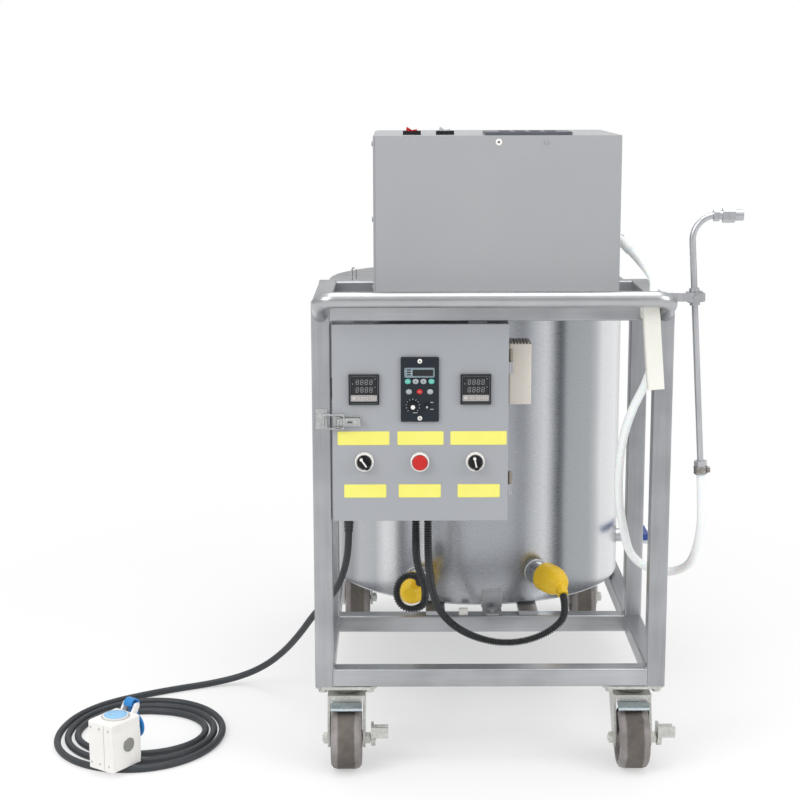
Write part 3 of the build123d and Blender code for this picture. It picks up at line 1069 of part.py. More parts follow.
plug_flap = rod_x(flap_x + 2, flap_x + 6, 0, flap_z - flap_reach, 22)
plug_flap += block(flap_x + 2, flap_x + 6, -9, 9, flap_z - flap_reach + 10, flap_z)
plug_flap += block(flap_x, flap_x + 6, -9, 9, flap_z - 2, flap_z + 3)
plug_flap += rod_y(flap_x, -9, 9, flap_z, 4.5)
plug_flap -= rod_y(flap_x, -16, 16, flap_z, FLAP_PIN_R + RUN_GAP)
nodes["plug_flap"] = one(plug_at * plug_flap)

tail_points = [tuple(coil_end), (-637, 247, COIL_Z), (-660, 218, 8), (-664, 178, 16),
               (-648, 138, 28), (entry[0], 102, entry[2]), entry]
tail = cord_tube("plug tail", tail_points, CORD_D)
nodes["power_cord"] = group(hanging, coil, tail)
cord_nodes += ["power_cord", "plug_body", "plug_flap"]

# The origin moves to the middle of the footprint, measured without the cords
solid_boxes = [shape.bounding_box() for name, shape in nodes.items() if name not in cord_nodes]
low_x = min(box.min.X for box in solid_boxes)
high_x = max(box.max.X for box in solid_boxes)
low_y = min(box.min.Y for box in solid_boxes)
high_y = max(box.max.Y for box in solid_boxes)
low_z = min(box.min.Z for box in solid_boxes)
shift = Pos(-(low_x + high_x) / 2, -(low_y + high_y) / 2, -low_z)
print("shift", -(low_x + high_x) / 2, -(low_y + high_y) / 2, -low_z)

os.makedirs("parts", exist_ok=True)
for name, shape in nodes.items():
    placed = [shift * solid for solid in shape.solids()]
    whole = placed[0] if len(placed) == 1 else Compound(children=placed)
    export_step(whole, f"parts/{name}.step")
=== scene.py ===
import bpy
import math
import numpy as np
from mathutils import Matrix, Vector


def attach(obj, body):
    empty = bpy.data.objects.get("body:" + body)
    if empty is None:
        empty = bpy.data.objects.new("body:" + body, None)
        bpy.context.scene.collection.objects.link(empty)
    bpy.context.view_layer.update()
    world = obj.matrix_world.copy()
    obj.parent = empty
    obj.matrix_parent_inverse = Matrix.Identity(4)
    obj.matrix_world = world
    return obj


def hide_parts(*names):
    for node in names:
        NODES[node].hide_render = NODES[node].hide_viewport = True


# Places are given in the CAD's design millimetres: x 0 is the cart's middle plane, y 0 the front face of its
# posts and z 0 the floor. SHIFT takes them to the row frame.
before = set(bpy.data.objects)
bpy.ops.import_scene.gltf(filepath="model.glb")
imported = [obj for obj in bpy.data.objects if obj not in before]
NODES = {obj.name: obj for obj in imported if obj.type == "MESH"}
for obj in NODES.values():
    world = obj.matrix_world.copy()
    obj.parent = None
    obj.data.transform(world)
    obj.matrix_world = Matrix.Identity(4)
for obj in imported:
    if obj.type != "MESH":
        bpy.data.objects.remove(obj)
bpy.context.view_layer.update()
MM = 0.001
SHIFT = np.array([-52.0, -403.25, 0.0])
X, Y, Z = np.eye(3)
TANK_Y = 592.0
POST_INNER_X = 255.0
WHEEL_X = 235.0


def at(*p):
    """A point given in the CAD's design millimetres, in the row frame's metres."""
    return (np.array(p, float) + SHIFT) * MM


def linear(code):
    """sRGB hex to linear RGBA."""
    c = np.array([int(code[i:i + 2], 16) / 255 for i in (1, 3, 5)])
    c = np.where(c <= 0.04045, c / 12.92, ((c + 0.055) / 1.055) ** 2.4)
    return (*c, 1.0)


# Materials: streaks stretched along each axis, and the classes that build their node trees
ALONG_X = (0.06, 1.6, 1.6)
ALONG_Y = (1.6, 0.06, 1.6)
ALONG_Z = (1.6, 1.6, 0.06)


class Tree:
    """A short way to add nodes to one node tree."""

    def __init__(self, tree):
        self.tree = tree

    def add(self, kind, inputs=(), **settings):
        node = self.tree.nodes.new(kind)
        for key, value in settings.items():
            setattr(node, key, value)
        for key, value in dict(inputs).items():
            if isinstance(value, bpy.types.NodeSocket):
                self.tree.links.new(value, node.inputs[key])
            else:
                node.inputs[key].default_value = value
        return node

    def math(self, op, a, b=0.0):
        return self.add("ShaderNodeMath", {0: a, 1: b}, operation=op).outputs[0]

    def split(self, vector, index):
        """One of a vector's three parts."""
        return self.add("ShaderNodeSeparateXYZ", {"Vector": vector}).outputs[index]

    def spread(self, fac, low, high, a=0.3, b=0.7):
        """Map a factor that runs from a to b to one that runs from low to high, and stays between them."""
        return self.add("ShaderNodeMapRange", {"Value": fac, "From Min": a, "From Max": b,
                                               "To Min": low, "To Max": high}).outputs[0]


class Graph(Tree):
    """One material with its Principled shader, on Object coordinates."""

    def __init__(self, name, colour, rough, metal=0.0, **sockets):
        self.mat = bpy.data.materials.new(name)
        self.mat.use_nodes = True
        super().__init__(self.mat.node_tree)
        self.shader = self.tree.nodes["Principled BSDF"]
        self.shader.inputs["Base Color"].default_value = linear(colour)
        self.shader.inputs["Roughness"].default_value = rough
        self.shader.inputs["Metallic"].default_value = metal
        for key, value in sockets.items():
            self.shader.inputs[key.replace("_", " ")].default_value = value
        self.coords = self.add("ShaderNodeTexCoord").outputs["Object"]

    def link(self, out, key):
        self.tree.links.new(out, self.shader.inputs[key])

    def noise(self, scale, stretch=(1, 1, 1), detail=4.0, rough=0.55):
        moved = self.add("ShaderNodeMapping", {"Vector": self.coords, "Scale": stretch})
        return self.add("ShaderNodeTexNoise", {"Vector": moved.outputs[0], "Scale": scale,
                                               "Detail": detail, "Roughness": rough}).outputs["Fac"]

    def ramp(self, fac, *stops):
        node = self.add("ShaderNodeValToRGB", {"Fac": fac})
        ramp = node.color_ramp
        while len(ramp.elements) < len(stops):
            ramp.elements.new(0.5)
        for element, (place, code) in zip(ramp.elements, stops):
            element.position = place
            element.color = linear(code)
        return node.outputs["Color"]

    def mix(self, fac, a, b):
        """Mix two colours, each a hex code or a socket."""
        node = self.add("ShaderNodeMix", data_type="RGBA")
        for key, value in ((0, fac), (6, a), (7, b)):
            if isinstance(value, bpy.types.NodeSocket):
                self.tree.links.new(value, node.inputs[key])
            else:
                node.inputs[key].default_value = linear(value) if isinstance(value, str) else value
        return node.outputs[2]

    def weigh(self, a, part_a, b, part_b):
        """Two factors added, each by its own weight."""
        return self.math("ADD", self.math("MULTIPLY", a, part_a), self.math("MULTIPLY", b, part_b))

    def from_middle(self):
        """The distance from the cart's middle plane, in metres and with its sign."""
        return self.math("ADD", self.split(self.coords, 0), -SHIFT[0] * MM)

    def bump(self, height, strength, distance, bevel=0.0):
        node = self.add("ShaderNodeBump", {"Height": height, "Strength": strength, "Distance": distance})
        if bevel:
            rounded = self.add("ShaderNodeBevel", {"Radius": bevel}, samples=4)
            self.tree.links.new(rounded.outputs[0], node.inputs["Normal"])
        self.link(node.outputs[0], "Normal")


def brushed(name, dark, light, rough, stretch, metal=1.0, streak=0.35, bevel=0.0, cloud=0.5):
    """Brushed or satin stainless sheet: fine streaks along one axis over broad soft cloudiness."""
    g = Graph(name, light, rough, metal)
    lines = g.noise(90.0, stretch, 3.0, 0.7)
    both = g.weigh(lines, streak, g.noise(7.0, (1, 1, 1), 3.0), cloud)
    mean = 0.5 * (streak + cloud)
    tone = g.spread(both, 0.0, 1.0, mean - 0.16, mean + 0.16)
    g.link(g.ramp(tone, (0.0, dark), (1.0, light)), "Base Color")
    g.link(g.spread(lines, rough - 0.05, rough + 0.06), "Roughness")
    g.bump(lines, 0.10, 0.0004, bevel)
    return g.mat


def enamel(name, colour, dusty, rough, bevel=0.0006):
    """Stove enamel on folded sheet: faint orange peel, a little dust and rubbing."""
    g = Graph(name, colour, rough, 0.0, Coat_Weight=0.15, Coat_Roughness=0.25)
    g.link(g.mix(g.spread(g.noise(4.0), 0.0, 0.5), colour, dusty), "Base Color")
    g.link(g.spread(g.noise(30.0), rough - 0.06, rough + 0.08), "Roughness")
    g.bump(g.noise(900.0, (1, 1, 1), 2.0), 0.12, 0.0003, bevel)
    return g.mat


def plastic(name, colour, shade, rough, grain=1200.0, strength=0.12, bevel=0.0004, **sockets):
    """Moulded plastic: fine spark grain and slightly uneven tone."""
    g = Graph(name, colour, rough, 0.0, **sockets)
    g.link(g.mix(g.spread(g.noise(18.0), 0.0, 0.6), colour, shade), "Base Color")
    g.link(g.spread(g.noise(60.0), rough - 0.05, rough + 0.07), "Roughness")
    g.bump(g.noise(grain, (1, 1, 1), 2.0), strength, 0.0002, bevel)
    return g.mat


def tube_steel():
    """Satin stainless frame tube: streaks along each tube's own run, chosen by where it lies."""
    g = Graph("satin_tube", "#B4B6BA", 0.34, 0.9)
    across = g.noise(80.0, ALONG_X, 3.0, 0.7)
    along = g.noise(80.0, ALONG_Y, 3.0, 0.7)
    side = g.math("GREATER_THAN", g.math("ABSOLUTE", g.from_middle()), (POST_INNER_X + 0.1) * MM)
    lines = g.add("ShaderNodeMix", {0: side, 2: across, 3: along}, data_type="FLOAT").outputs[0]
    both = g.weigh(lines, 0.3, g.noise(5.0, (1, 1, 1), 3.0), 0.7)
    g.link(g.ramp(g.spread(both, 0.0, 1.0, 0.36, 0.64), (0.0, "#9C9EA2"), (1.0, "#BFC1C4")), "Base Color")
    g.link(g.spread(lines, 0.28, 0.42), "Roughness")
    g.bump(lines, 0.08, 0.0004, 0.0008)
    return g.mat


# Painted reflections on the tank's wall: the bright and dark tones that it mirrors, painted into its colour
# at each part of a turn round it, which is 0 at the back, 0.25 at the left, 0.5 at the front and 0.75 at the
# right
TANK_REFLECTION_BANDS = (
    (0.0, "#BFC1C3"), (0.12, "#A2A4A7"), (0.2, "#C9CBCC"), (0.3, "#B0B2B5"), (0.318, "#8B8E92"),
    (0.335, "#8F9296"), (0.35, "#B4B6BA"), (0.375, "#B0B3B7"), (0.39, "#DCDDDF"), (0.402, "#D4D6D8"),
    (0.412, "#A6A9AD"), (0.43, "#A6A9AD"), (0.438, "#CFD1D3"), (0.446, "#A5A8AD"), (0.545, "#A3A6AC"),
    (0.568, "#D2D4D7"), (0.58, "#A9ACB0"), (0.5875, "#72767B"), (0.595, "#A3A6AA"), (0.63, "#A3A6AA"),
    (0.64, "#B6B8BC"), (0.652, "#DCDDDE"), (0.69, "#E4E5E6"), (0.71, "#C3C5C7"), (0.74, "#999CA0"),
    (0.82, "#C6C8CA"), (0.9, "#A7A9AC"), (1.0, "#BFC1C3"))


def tank_sheet():
    """Rolled polished sheet: painted reflections as bright and dark upright bands by the angle round the
    tank, finely brushed.
    """
    g = Graph("polished_tank_sheet", "#C4C6C8", 0.2, 0.92, Anisotropic=0.35)
    before = g.math("SUBTRACT", (TANK_Y + SHIFT[1]) * MM, g.split(g.coords, 1))
    around = g.math("DIVIDE", g.math("ARCTAN2", g.from_middle(), before), math.pi)
    wave = g.math("MULTIPLY", g.math("SUBTRACT", g.noise(3.0, (1, 1, 0.5), 3.0), 0.5), 0.02)
    turn = g.math("ADD", g.math("MULTIPLY", around, 0.5), 0.5)
    # painted reflections: the mirrored bands go into the sheet's base colour
    tone = g.ramp(g.math("ADD", turn, wave), *TANK_REFLECTION_BANDS)
    lines = g.noise(90.0, (1, 1, 14.0), 3.0, 0.7)
    g.link(g.mix(g.spread(lines, 0.0, 0.1), tone, "#B4B6B9"), "Base Color")
    g.link(g.spread(lines, 0.2, 0.3), "Roughness")
    ring = g.add("ShaderNodeTangent", direction_type="RADIAL", axis="Z")
    g.link(ring.outputs[0], "Tangent")
    g.bump(lines, 0.02, 0.0003)
    return g.mat


def rubber_tread():
    """Solid rubber tread: worn brown near the wheel's middle plane, and dusty grey on its shoulders."""
    g = Graph("rubber_tread", "#6E6A66", 0.75)
    broad = g.noise(25.0, (1, 1, 1), 6.0, 0.65)
    off = g.math("ABSOLUTE", g.math("SUBTRACT", g.math("ABSOLUTE", g.from_middle()), WHEEL_X * MM))
    side = g.spread(g.math("ADD", off, g.math("MULTIPLY", broad, 0.004)), 0.0, 1.0, 0.0145, 0.0175)
    middle = g.ramp(broad, (0.25, "#4A4541"), (0.5, "#5F5954"), (0.75, "#726B65"))
    edge = g.ramp(broad, (0.25, "#6E6A68"), (0.5, "#86817F"), (0.75, "#A19C9B"))
    g.link(g.mix(side, middle, edge), "Base Color")
    g.link(g.spread(g.noise(60.0), 0.62, 0.88), "Roughness")
    g.bump(g.noise(350.0, (1, 1, 1), 5.0), 0.35, 0.0005, 0.0008)
    return g.mat


def zinc(name, dark, light, rough, metal=0.9):
    """Zinc plated pressing: spangled tone with dull handling marks."""
    g = Graph(name, light, rough, metal)
    cells = g.add("ShaderNodeTexVoronoi", {"Vector": g.coords, "Scale": 240.0}).outputs["Distance"]
    broad = g.noise(22.0, (1, 1, 1), 5.0)
    tone = g.weigh(cells, 0.25, broad, 0.8)
    g.link(g.ramp(g.spread(tone, 0.0, 1.0, 0.3, 0.75), (0.0, dark), (1.0, light)), "Base Color")
    g.link(g.spread(broad, rough - 0.08, rough + 0.12), "Roughness")
    g.bump(broad, 0.05, 0.0004, 0.0006)
    return g.mat


MATS = {
    "tube": tube_steel(),
    "post": brushed("satin_post", "#9C9EA2", "#BDBFC2", 0.34, ALONG_Z, 0.9, 0.3, 0.0008, 0.7),
    "handle": brushed("polished_handle", "#A9ABAE", "#C1C3C5", 0.34, (0.1, 1.4, 1.4), 1.0, 0.3),
    "tank": tank_sheet(),
    "sheet": brushed("satin_sheet", "#A5A7AA", "#C3C5C7", 0.3, ALONG_X, 1.0, 0.4, 0.0006),
    "door": enamel("cabinet_enamel", "#9FA2A7", "#A9ABAF", 0.42),
    "house": enamel("housing_enamel", "#9FA1A4", "#A8AAAC", 0.4),
    "zinc": zinc("zinc_plate", "#A6A8A9", "#D5D7D6", 0.36),
    "fork": zinc("zinc_pressing", "#B3B3AE", "#DEDFDA", 0.4),
    "lance": brushed("satin_lance", "#A8AAAD", "#CDCFD2", 0.34, (1.4, 1.4, 0.1), 0.85, 0.3),
    "nickel": zinc("nickel_plate", "#B9BBBD", "#DADCDD", 0.3, 1.0),
    "bead": zinc("weld_bead", "#B4B6B8", "#D8D9DA", 0.38, 0.9),
    "tyre": rubber_tread(),
    "black": plastic("black_moulding", "#121518", "#191C20", 0.45, Specular_IOR_Level=0.35),
    "console": plastic("console_moulding", "#17202A", "#1D2730", 0.45, Specular_IOR_Level=0.35),
    "panel": plastic("dark_key_panel", "#565A60", "#62666C", 0.4),
    "bronze": zinc("hinge_plate", "#857B70", "#A89F94", 0.42, 0.6),
    "clamp": zinc("hose_clamp", "#77736E", "#A9A5A0", 0.4, 0.9),
    "deep_blue": plastic("lever_grip", "#2A4FA0", "#234390", 0.35),
    "grey": plastic("grey_moulding", "#C3C5C6", "#B4B6B8", 0.45),
    "cream": plastic("cream_moulding", "#DCD6CD", "#CFC8BD", 0.45),
    "white": plastic("white_moulding", "#F1EFEC", "#E3E1DD", 0.38),
    "ivory": plastic("ivory_extrusion", "#EFEFE7", "#E4E4DB", 0.4),
    "red": plastic("red_moulding", "#C8140F", "#B4120E", 0.28),
    "yellow": plastic("yellow_moulding", "#FAD02A", "#F2C51F", 0.36),
    "label": plastic("yellow_label", "#F3ED78", "#ECE56A", 0.5, 600.0, 0.05, 0.0),
    "blue": plastic("blue_moulding", "#2A86CC", "#2277BB", 0.3),
    "pale_blue": plastic("pale_blue_moulding", "#8FC3E8", "#7FB5DD", 0.3),
    "teal": plastic("teal_key", "#5FBFAE", "#52AE9E", 0.4),
    "key_grey": plastic("grey_key", "#A9B0B3", "#9CA3A6", 0.4),
    "silver": zinc("silver_strip", "#A39F9F", "#BBB7B6", 0.45, 0.1),
    "key_pale": plastic("pale_key", "#C4BEBD", "#BAB4B3", 0.45),
    "ghost": plastic("ghost_segment", "#A3A8A9", "#999E9F", 0.5),
    "frame_blue": plastic("display_frame", "#8DA0A8", "#83969E", 0.45),
    "outline": plastic("window_outline", "#5C636A", "#545B62", 0.45),
    "disc": plastic("knockout_disc", "#8C8C86", "#7F7F79", 0.6, 300.0, 0.4),
    # painted shade: the warm dark inside the breaker's top slots
    "brown": plastic("breaker_slot_shade", "#8A7D75", "#75695F", 0.6),
    "seam": plastic("seam_shadow", "#B9B7B3", "#AFADA9", 0.6),
    "shoe": zinc("brake_shoe", "#8F9BA1", "#BAC4C8", 0.4, 0.7),
    "ink": plastic("printed_mark", "#DADDDD", "#CFD2D2", 0.5),
    # painted shade for the hollows of the console's screws and the toggle's slot
    "dark": plastic("painted_recess_shade", "#121416", "#181A1D", 0.5),
    "sheath": plastic("black_sheath", "#2C3034", "#383C40", 0.5, 500.0, 0.2, 0.0),
    "conduit": plastic("corrugated_sheath", "#1F2225", "#2B2E32", 0.28, 800.0, 0.1, 0.0),
    "hose": plastic("silicone_hose", "#F6F7F7", "#F0F2F2", 0.32, 300.0, 0.03, 0.0, Subsurface_Weight=0.2),
    "glass": plastic("display_window", "#0D1012", "#111417", 0.12, 600.0, 0.02, 0.0),
}

MAT_OF = {
    "tube": "base_rails top_rails tank_mounts",
    "post": "posts",
    "handle": "push_handle",
    "tank": "tank_jacket wax_pot",
    "sheet": "tank_cover loading_flap heaters mixer_shaft dispensing_pump",
    "door": "cabinet_door cabinet_body",
    "house": "pump_housing housing_covers",
    "bronze": "door_hinges",
    "zinc": "lid_clip latch_base latch_lever latch_bail latch_strike speed_toggle",
    "fork": "caster_plates fork_fl fork_fr fork_rl fork_rr brake_fl brake_fr",
    "lance": "lance lance_bracket",
    "nickel": "drain_valve",
    "tyre": "wheel_fl wheel_fr wheel_rl wheel_rr",
    "console": "speed_controller",
    "black": "temp_controllers speed_knob selector_left selector_right rocker_bezels mixer_motor",
    "panel": "key_panel",
    "grey": "rocker_pale control_gear",
    "cream": "breaker_box",
    "white": "plug_body switch_bezels",
    "ivory": "hose_guard",
    "red": "rocker_red power_button",
    "yellow": "heater_caps",
    "blue": "plug_flap",
    "deep_blue": "valve_lever",
    "sheath": "power_cord",
    "conduit": "conduit_left conduit_right",
    "hose": "wax_hose",
}
for key, names in MAT_OF.items():
    for name in names.split():
        data = NODES[name].data
        data.materials.clear()
        data.materials.append(MATS[key])


# Surfaces
def piece(name, verts, faces, mat, body, smooth=True, angle=0.6):
    """Make a mesh piece in row metres that rides on a CAD body."""
    data = bpy.data.meshes.new(name)
    data.from_pydata([tuple(map(float, v)) for v in verts], [], [tuple(int(i) for i in f) for f in faces])
    data.validate()
    data.update()
    if smooth:
        data.shade_smooth()
        data.set_sharp_from_angle(angle=angle)
    data.materials.append(MATS[mat])
    obj = bpy.data.objects.new(name, data)
    bpy.context.scene.collection.objects.link(obj)
    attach(obj, body)
    return obj


class Build:
    """Collects the vertices and faces of several surfaces for one piece."""

    def __init__(self):
        self.v = []
        self.f = []

    def grid(self, rows, caps=True):
        """Loft closed rows of points, and close both ends with a fan if caps is set."""
        rows = [np.asarray(r, float) for r in rows]
        base = len(self.v)
        n = len(rows[0])
        for r in rows:
            self.v.extend(r)
        for i in range(len(rows) - 1):
            for j in range(n):
                k = (j + 1) % n
                a = base + i * n
                b = a + n
                self.f.append((a + j, a + k, b + k, b + j))
        if caps:
            last = base + (len(rows) - 1) * n
            self.v.append(rows[0].mean(0))
            self.f.extend((len(self.v) - 1, base + (j + 1) % n, base + j) for j in range(n))
            self.v.append(rows[-1].mean(0))
            self.f.extend((len(self.v) - 1, last + j, last + (j + 1) % n) for j in range(n))
        return self

    def pad(self, centre, u, v, w, a, b, profile, power=2.0, steps=32):
        """Superellipse |s/a|^p + |t/b|^p = 1 in the plane of u and v, lofted through (scale, rise) along w.

        The centre is in row metres, and a, b and each rise are in millimetres."""
        t = np.linspace(0, 2 * np.pi, steps, endpoint=False)
        s = np.sign(np.cos(t)) * np.abs(np.cos(t)) ** (2 / power) * a
        r = np.sign(np.sin(t)) * np.abs(np.sin(t)) ** (2 / power) * b
        outline = s[:, None] * u + r[:, None] * v
        return self.grid([centre + (k * outline + h * w) * MM for k, h in profile])

    def make(self, name, mat, body, **more):
        return piece(name, self.v, self.f, mat, body, **more)


def front_pad(build, x, y, z, a, b, profile, power=2.0, steps=32):
    """A pad on a face that looks towards -Y, in design millimetres."""
    return build.pad(at(x, y, z), X, Z, -Y, a, b, profile, power, steps)


def bar(build, x, y, z, half, wide, angle, rise, power=12):
    """A flat bar on a face towards -Y, its length at an angle from +X, in degrees."""
    c = math.cos(math.radians(angle))
    n = math.sin(math.radians(angle))
    build.pad(at(x, y, z), c * X + n * Z, c * Z - n * X, -Y, half, wide, [(1, 0), (1, rise)], power, 24)


def rim(build, x, y, z, a, b, wide, rise):
    """A rectangular outline of four bars with sharp corners."""
    for side in (-1, 1):
        bar(build, x + side * a, y, z, b + wide / 2, wide / 2, 90, rise, 30)
        bar(build, x, y, z + side * b, a + wide / 2, wide / 2, 0, rise, 30)


def arrow(build, x, y, z, size, angle):
    """A small solid triangle on a face towards -Y."""
    rows = []
    for rise in (0.0, 0.12):
        row = []
        for k in range(3):
            t = math.radians(angle + 120 * k)
            row.append(at(x + size * math.cos(t), y - rise, z + size * math.sin(t)))
        rows.append(row)
    build.grid(rows)


def annulus(build, x, y, z, r0, r1, depth):
    """Round ring on a face towards -Y: its section from r0 to r1, turned about the axis through (x, z)."""
    section = [(r0, 0), (r0, depth - 0.5), (r0 + 0.5, depth), (r1 - 0.5, depth), (r1, depth - 0.5), (r1, 0)]
    build.grid([[at(x + r * math.cos(t), y - d, z + r * math.sin(t)) for r, d in section]
                for t in np.linspace(0, 2 * np.pi, 57)], caps=False)


def spline(name, points, radius=0.0, resolution=24):
    """One open NURBS spline of order 3 through control points given in design millimetres."""
    curve = bpy.data.curves.new(name, "CURVE")
    curve.dimensions = "3D"
    curve.resolution_u = resolution
    curve.bevel_depth = radius
    curve.bevel_resolution = 6
    curve.use_fill_caps = True
    line = curve.splines.new("NURBS")
    line.points.add(len(points) - 1)
    for spot, p in zip(line.points, points):
        spot.co = (*at(*p), 1.0)
    line.order_u = 3
    line.use_endpoint_u = True
    return bpy.data.objects.new(name, curve)


def centreline(points):
    """Points of the route's own NURBS spline, in row metres."""
    obj = spline("route", points)
    mesh = bpy.data.meshes.new_from_object(obj)
    out = np.array([v.co for v in mesh.vertices])
    bpy.data.objects.remove(obj)
    return out


def run_of(line):
    """How far along a line each of its points lies."""
    return np.r_[0, np.cumsum(np.linalg.norm(np.diff(line, axis=0), axis=1))]


def points_at(line, want):
    """The points of a line at the wanted distances along it."""
    run = run_of(line)
    return np.stack([np.interp(want, run, line[:, i]) for i in range(3)], 1)


def resample(line, step):
    """The same line at even steps of arc length, and each point's distance along it."""
    whole = run_of(line)[-1]
    want = np.linspace(0, whole, max(8, int(whole / step)) + 1)
    return points_at(line, want), want


def rings_along(line, radii, sides):
    """A ring of points round each point of a line, carried along it without twist."""
    ahead = np.gradient(line, axis=0)
    ahead /= np.linalg.norm(ahead, axis=1)[:, None]
    side = np.cross(ahead[0], [0.3, 0.2, 1.0])
    t = np.linspace(0, 2 * np.pi, sides, endpoint=False)
    rows = []
    for p, r, forward in zip(line, radii, ahead):
        side = side - forward * side.dot(forward)
        side /= np.linalg.norm(side)
        up = np.cross(forward, side)
        rows.append(p + r * (np.cos(t)[:, None] * side + np.sin(t)[:, None] * up))
    return rows


# Cords
CORD_RADIUS = 0.006
HOSE_RADIUS = 0.007
RIB_RADIUS = 0.0067
RIB_PITCH = 0.0042
RIB_DEPTH = 0.0020
HOSE = [(219.7, 61.2, 850.2), (243.3, 45.9, 824.7), (254.5, 2, 803), (241.5, -24, 765), (246, -24.5, 712),
        (249, -14, 676), (241, 0, 642), (224, 12, 604), (211, 30, 550), (208, 46, 492), (212, 62, 434),
        (224, 80, 378), (236, 91, 338), (266, 89, 315), (301, 75, 312), (328, 54, 330), (336, 35, 362),
        (339.5, 20, 402), (338.6, 15, 448.1), (335.7, 15, 494)]
RIGHT = [(-100, 96, 403.5), (-100, 96, 358), (-98, 112, 310), (-92, 140, 262), (-80, 165, 220),
         (-54, 186, 184), (-16, 202, 158), (28, 206, 146), (74, 204, 150), (118, 206, 168),
         (148, 224.4, 192.4), (141.9, 255.3, 218.7)]
LEFT = [(-120, 112, 403.5), (-120, 112, 366), (-119, 138, 322), (-114, 172, 290), (-106, 200, 262),
        (-102, 214, 236), (-104, 221, 212), (-120, 226, 202), (-140, 228, 204), (-152, 229, 219),
        (-153, 230, 240), (-144, 231, 257), (-128, 232, 264), (-114, 240, 256), (-112, 252, 243),
        (-112, 262, 239)]
HANGING = [(-232, 120, 403.5), (-232, 120, 356), (-238, 140, 308), (-252, 172, 262), (-274, 212, 222),
           (-300, 252, 184), (-326, 294, 136), (-358, 336, 88), (-398, 378, 44), (-446, 401, 15),
           (-502, 388, 6), (-558, 363, 6), (-612, 334, 6)]
TAIL = [(-600, 249, 6), (-637, 247, 6), (-660, 218, 8), (-664, 178, 16), (-648, 138, 28), (-618, 102, 40),
        (-618, 58, 40)]
# Where the coil on the floor begins, then each stop of its turns, as a place and the way the cord runs there
COIL_START = ((-622.6, 328.3), (-0.881, -0.473))
STOPS = [((-738, 134), (0, -1)), ((-595, -15), (1, 0)), ((-453, 146), (0, 1)), ((-588, 302), (-1, 0)),
         ((-722, 146), (0, -1)), ((-595, 17), (1, 0)), ((-468, 148), (0, 1)), ((-588, 275), (-1, 0)),
         ((-706, 150), (0, -1)), ((-595, 50), (1, 0)), ((-483, 150), (0, 1)), ((-588, 249), (-1, 0))]
COIL_Z = 6.0


def coil_points():
    """Quarter ellipses between the coil's stops: C + (P0 - C) cos t + (P1 - C) sin t, four points each."""
    out = []
    here, way = (np.array(q) for q in COIL_START)
    stops = [(np.array(p, float), np.array(h, float)) for p, h in STOPS]
    goal, heading = stops[0]
    for t in (0.25, 0.5, 0.75):
        corner = here + way * (goal[0] - here[0]) / way[0]
        out.append((1 - t) ** 2 * here + 2 * t * (1 - t) * corner + t * t * goal)
    here, way = goal, heading
    for goal, heading in stops[1:]:
        corner = here + way * (goal - here).dot(way)
        centre = here + goal - corner
        for step in range(4):
            t = math.pi / 2 * step / 4
            out.append(centre + (here - centre) * math.cos(t) + (goal - centre) * math.sin(t))
        here, way = goal, heading
    out.append(here)
    return [(float(p[0]), float(p[1]), COIL_Z) for p in out]


def ribbed(name, points, mat, body):
    """Corrugated tube along the route's spline: its radius falls by RIB_DEPTH between flat crests."""
    line, run = resample(centreline(points), RIB_PITCH / 8)
    phase = np.cos(2 * np.pi * run / RIB_PITCH)
    radii = RIB_RADIUS - RIB_DEPTH * (0.5 - 0.5 * np.tanh(2.2 * phase) / np.tanh(2.2))
    return Build().grid(rings_along(line, radii, 20)).make(name, mat, body, angle=2.0), line


CORD = HANGING + coil_points() + TAIL
cord = spline("supply_cord", CORD, CORD_RADIUS, 12)
cord.data.materials.append(MATS["sheath"])
hose = spline("clear_hose", HOSE, HOSE_RADIUS, 16)
hose.data.materials.append(MATS["hose"])
for obj, node, material in ((cord, "power_cord", "black_rubber"), (hose, "wax_hose", "silicone")):
    bpy.context.scene.collection.objects.link(obj)
    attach(obj, "cart")
    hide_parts(node)
cord_length = float(run_of(centreline(CORD))[-1])
hose_length = float(run_of(centreline(HOSE))[-1])
for name, points, node in (("heater_conduit_right", RIGHT, "conduit_right"),
                           ("heater_conduit_left", LEFT, "conduit_left")):
    tube, line = ribbed(name, points, "conduit", "cart")
    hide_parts(node)

# The door's face: the planes of its instruments, the columns and rows where they sit, and shared profiles
DOOR_Y = -5
SCREEN_Y = -8.2
CONSOLE_Y = -9
WINDOW_Y = -10
DIGIT_Y = -10.45
BEZEL_Y = -11
LEFT_X = -202.5
CENTRE_X = -114.5
RIGHT_X = -26.5
ROW_Z = 637
SWITCH_Z = 520.5
DIAL_X = CENTRE_X - 11
DIAL_Z = ROW_Z - 26
LABELS = [(-203.6, 558.3, 82, 22), (-113.4, 558.3, 73, 22), (-21.6, 558.3, 89, 22),
          (-201.4, 472.5, 67, 21.5), (-114.7, 472.5, 67, 21.5), (-20.8, 472.5, 67, 21.5)]
KEY_DOME = [(1, 0.5), (1, 1.0), (0.9, 1.4), (0.6, 1.65), (0.2, 1.7)]


def door_labels():
    """Six yellow labels, left bare: the middle, width and height of each."""
    labels = Build()
    for x, z, wide, high in LABELS:
        front_pad(labels, x, DOOR_Y, z, wide / 2, high / 2, [(1, 0), (1, 0.4), (0.99, 0.5)], 30, 48)
    labels.make("door_labels", "label", "door")


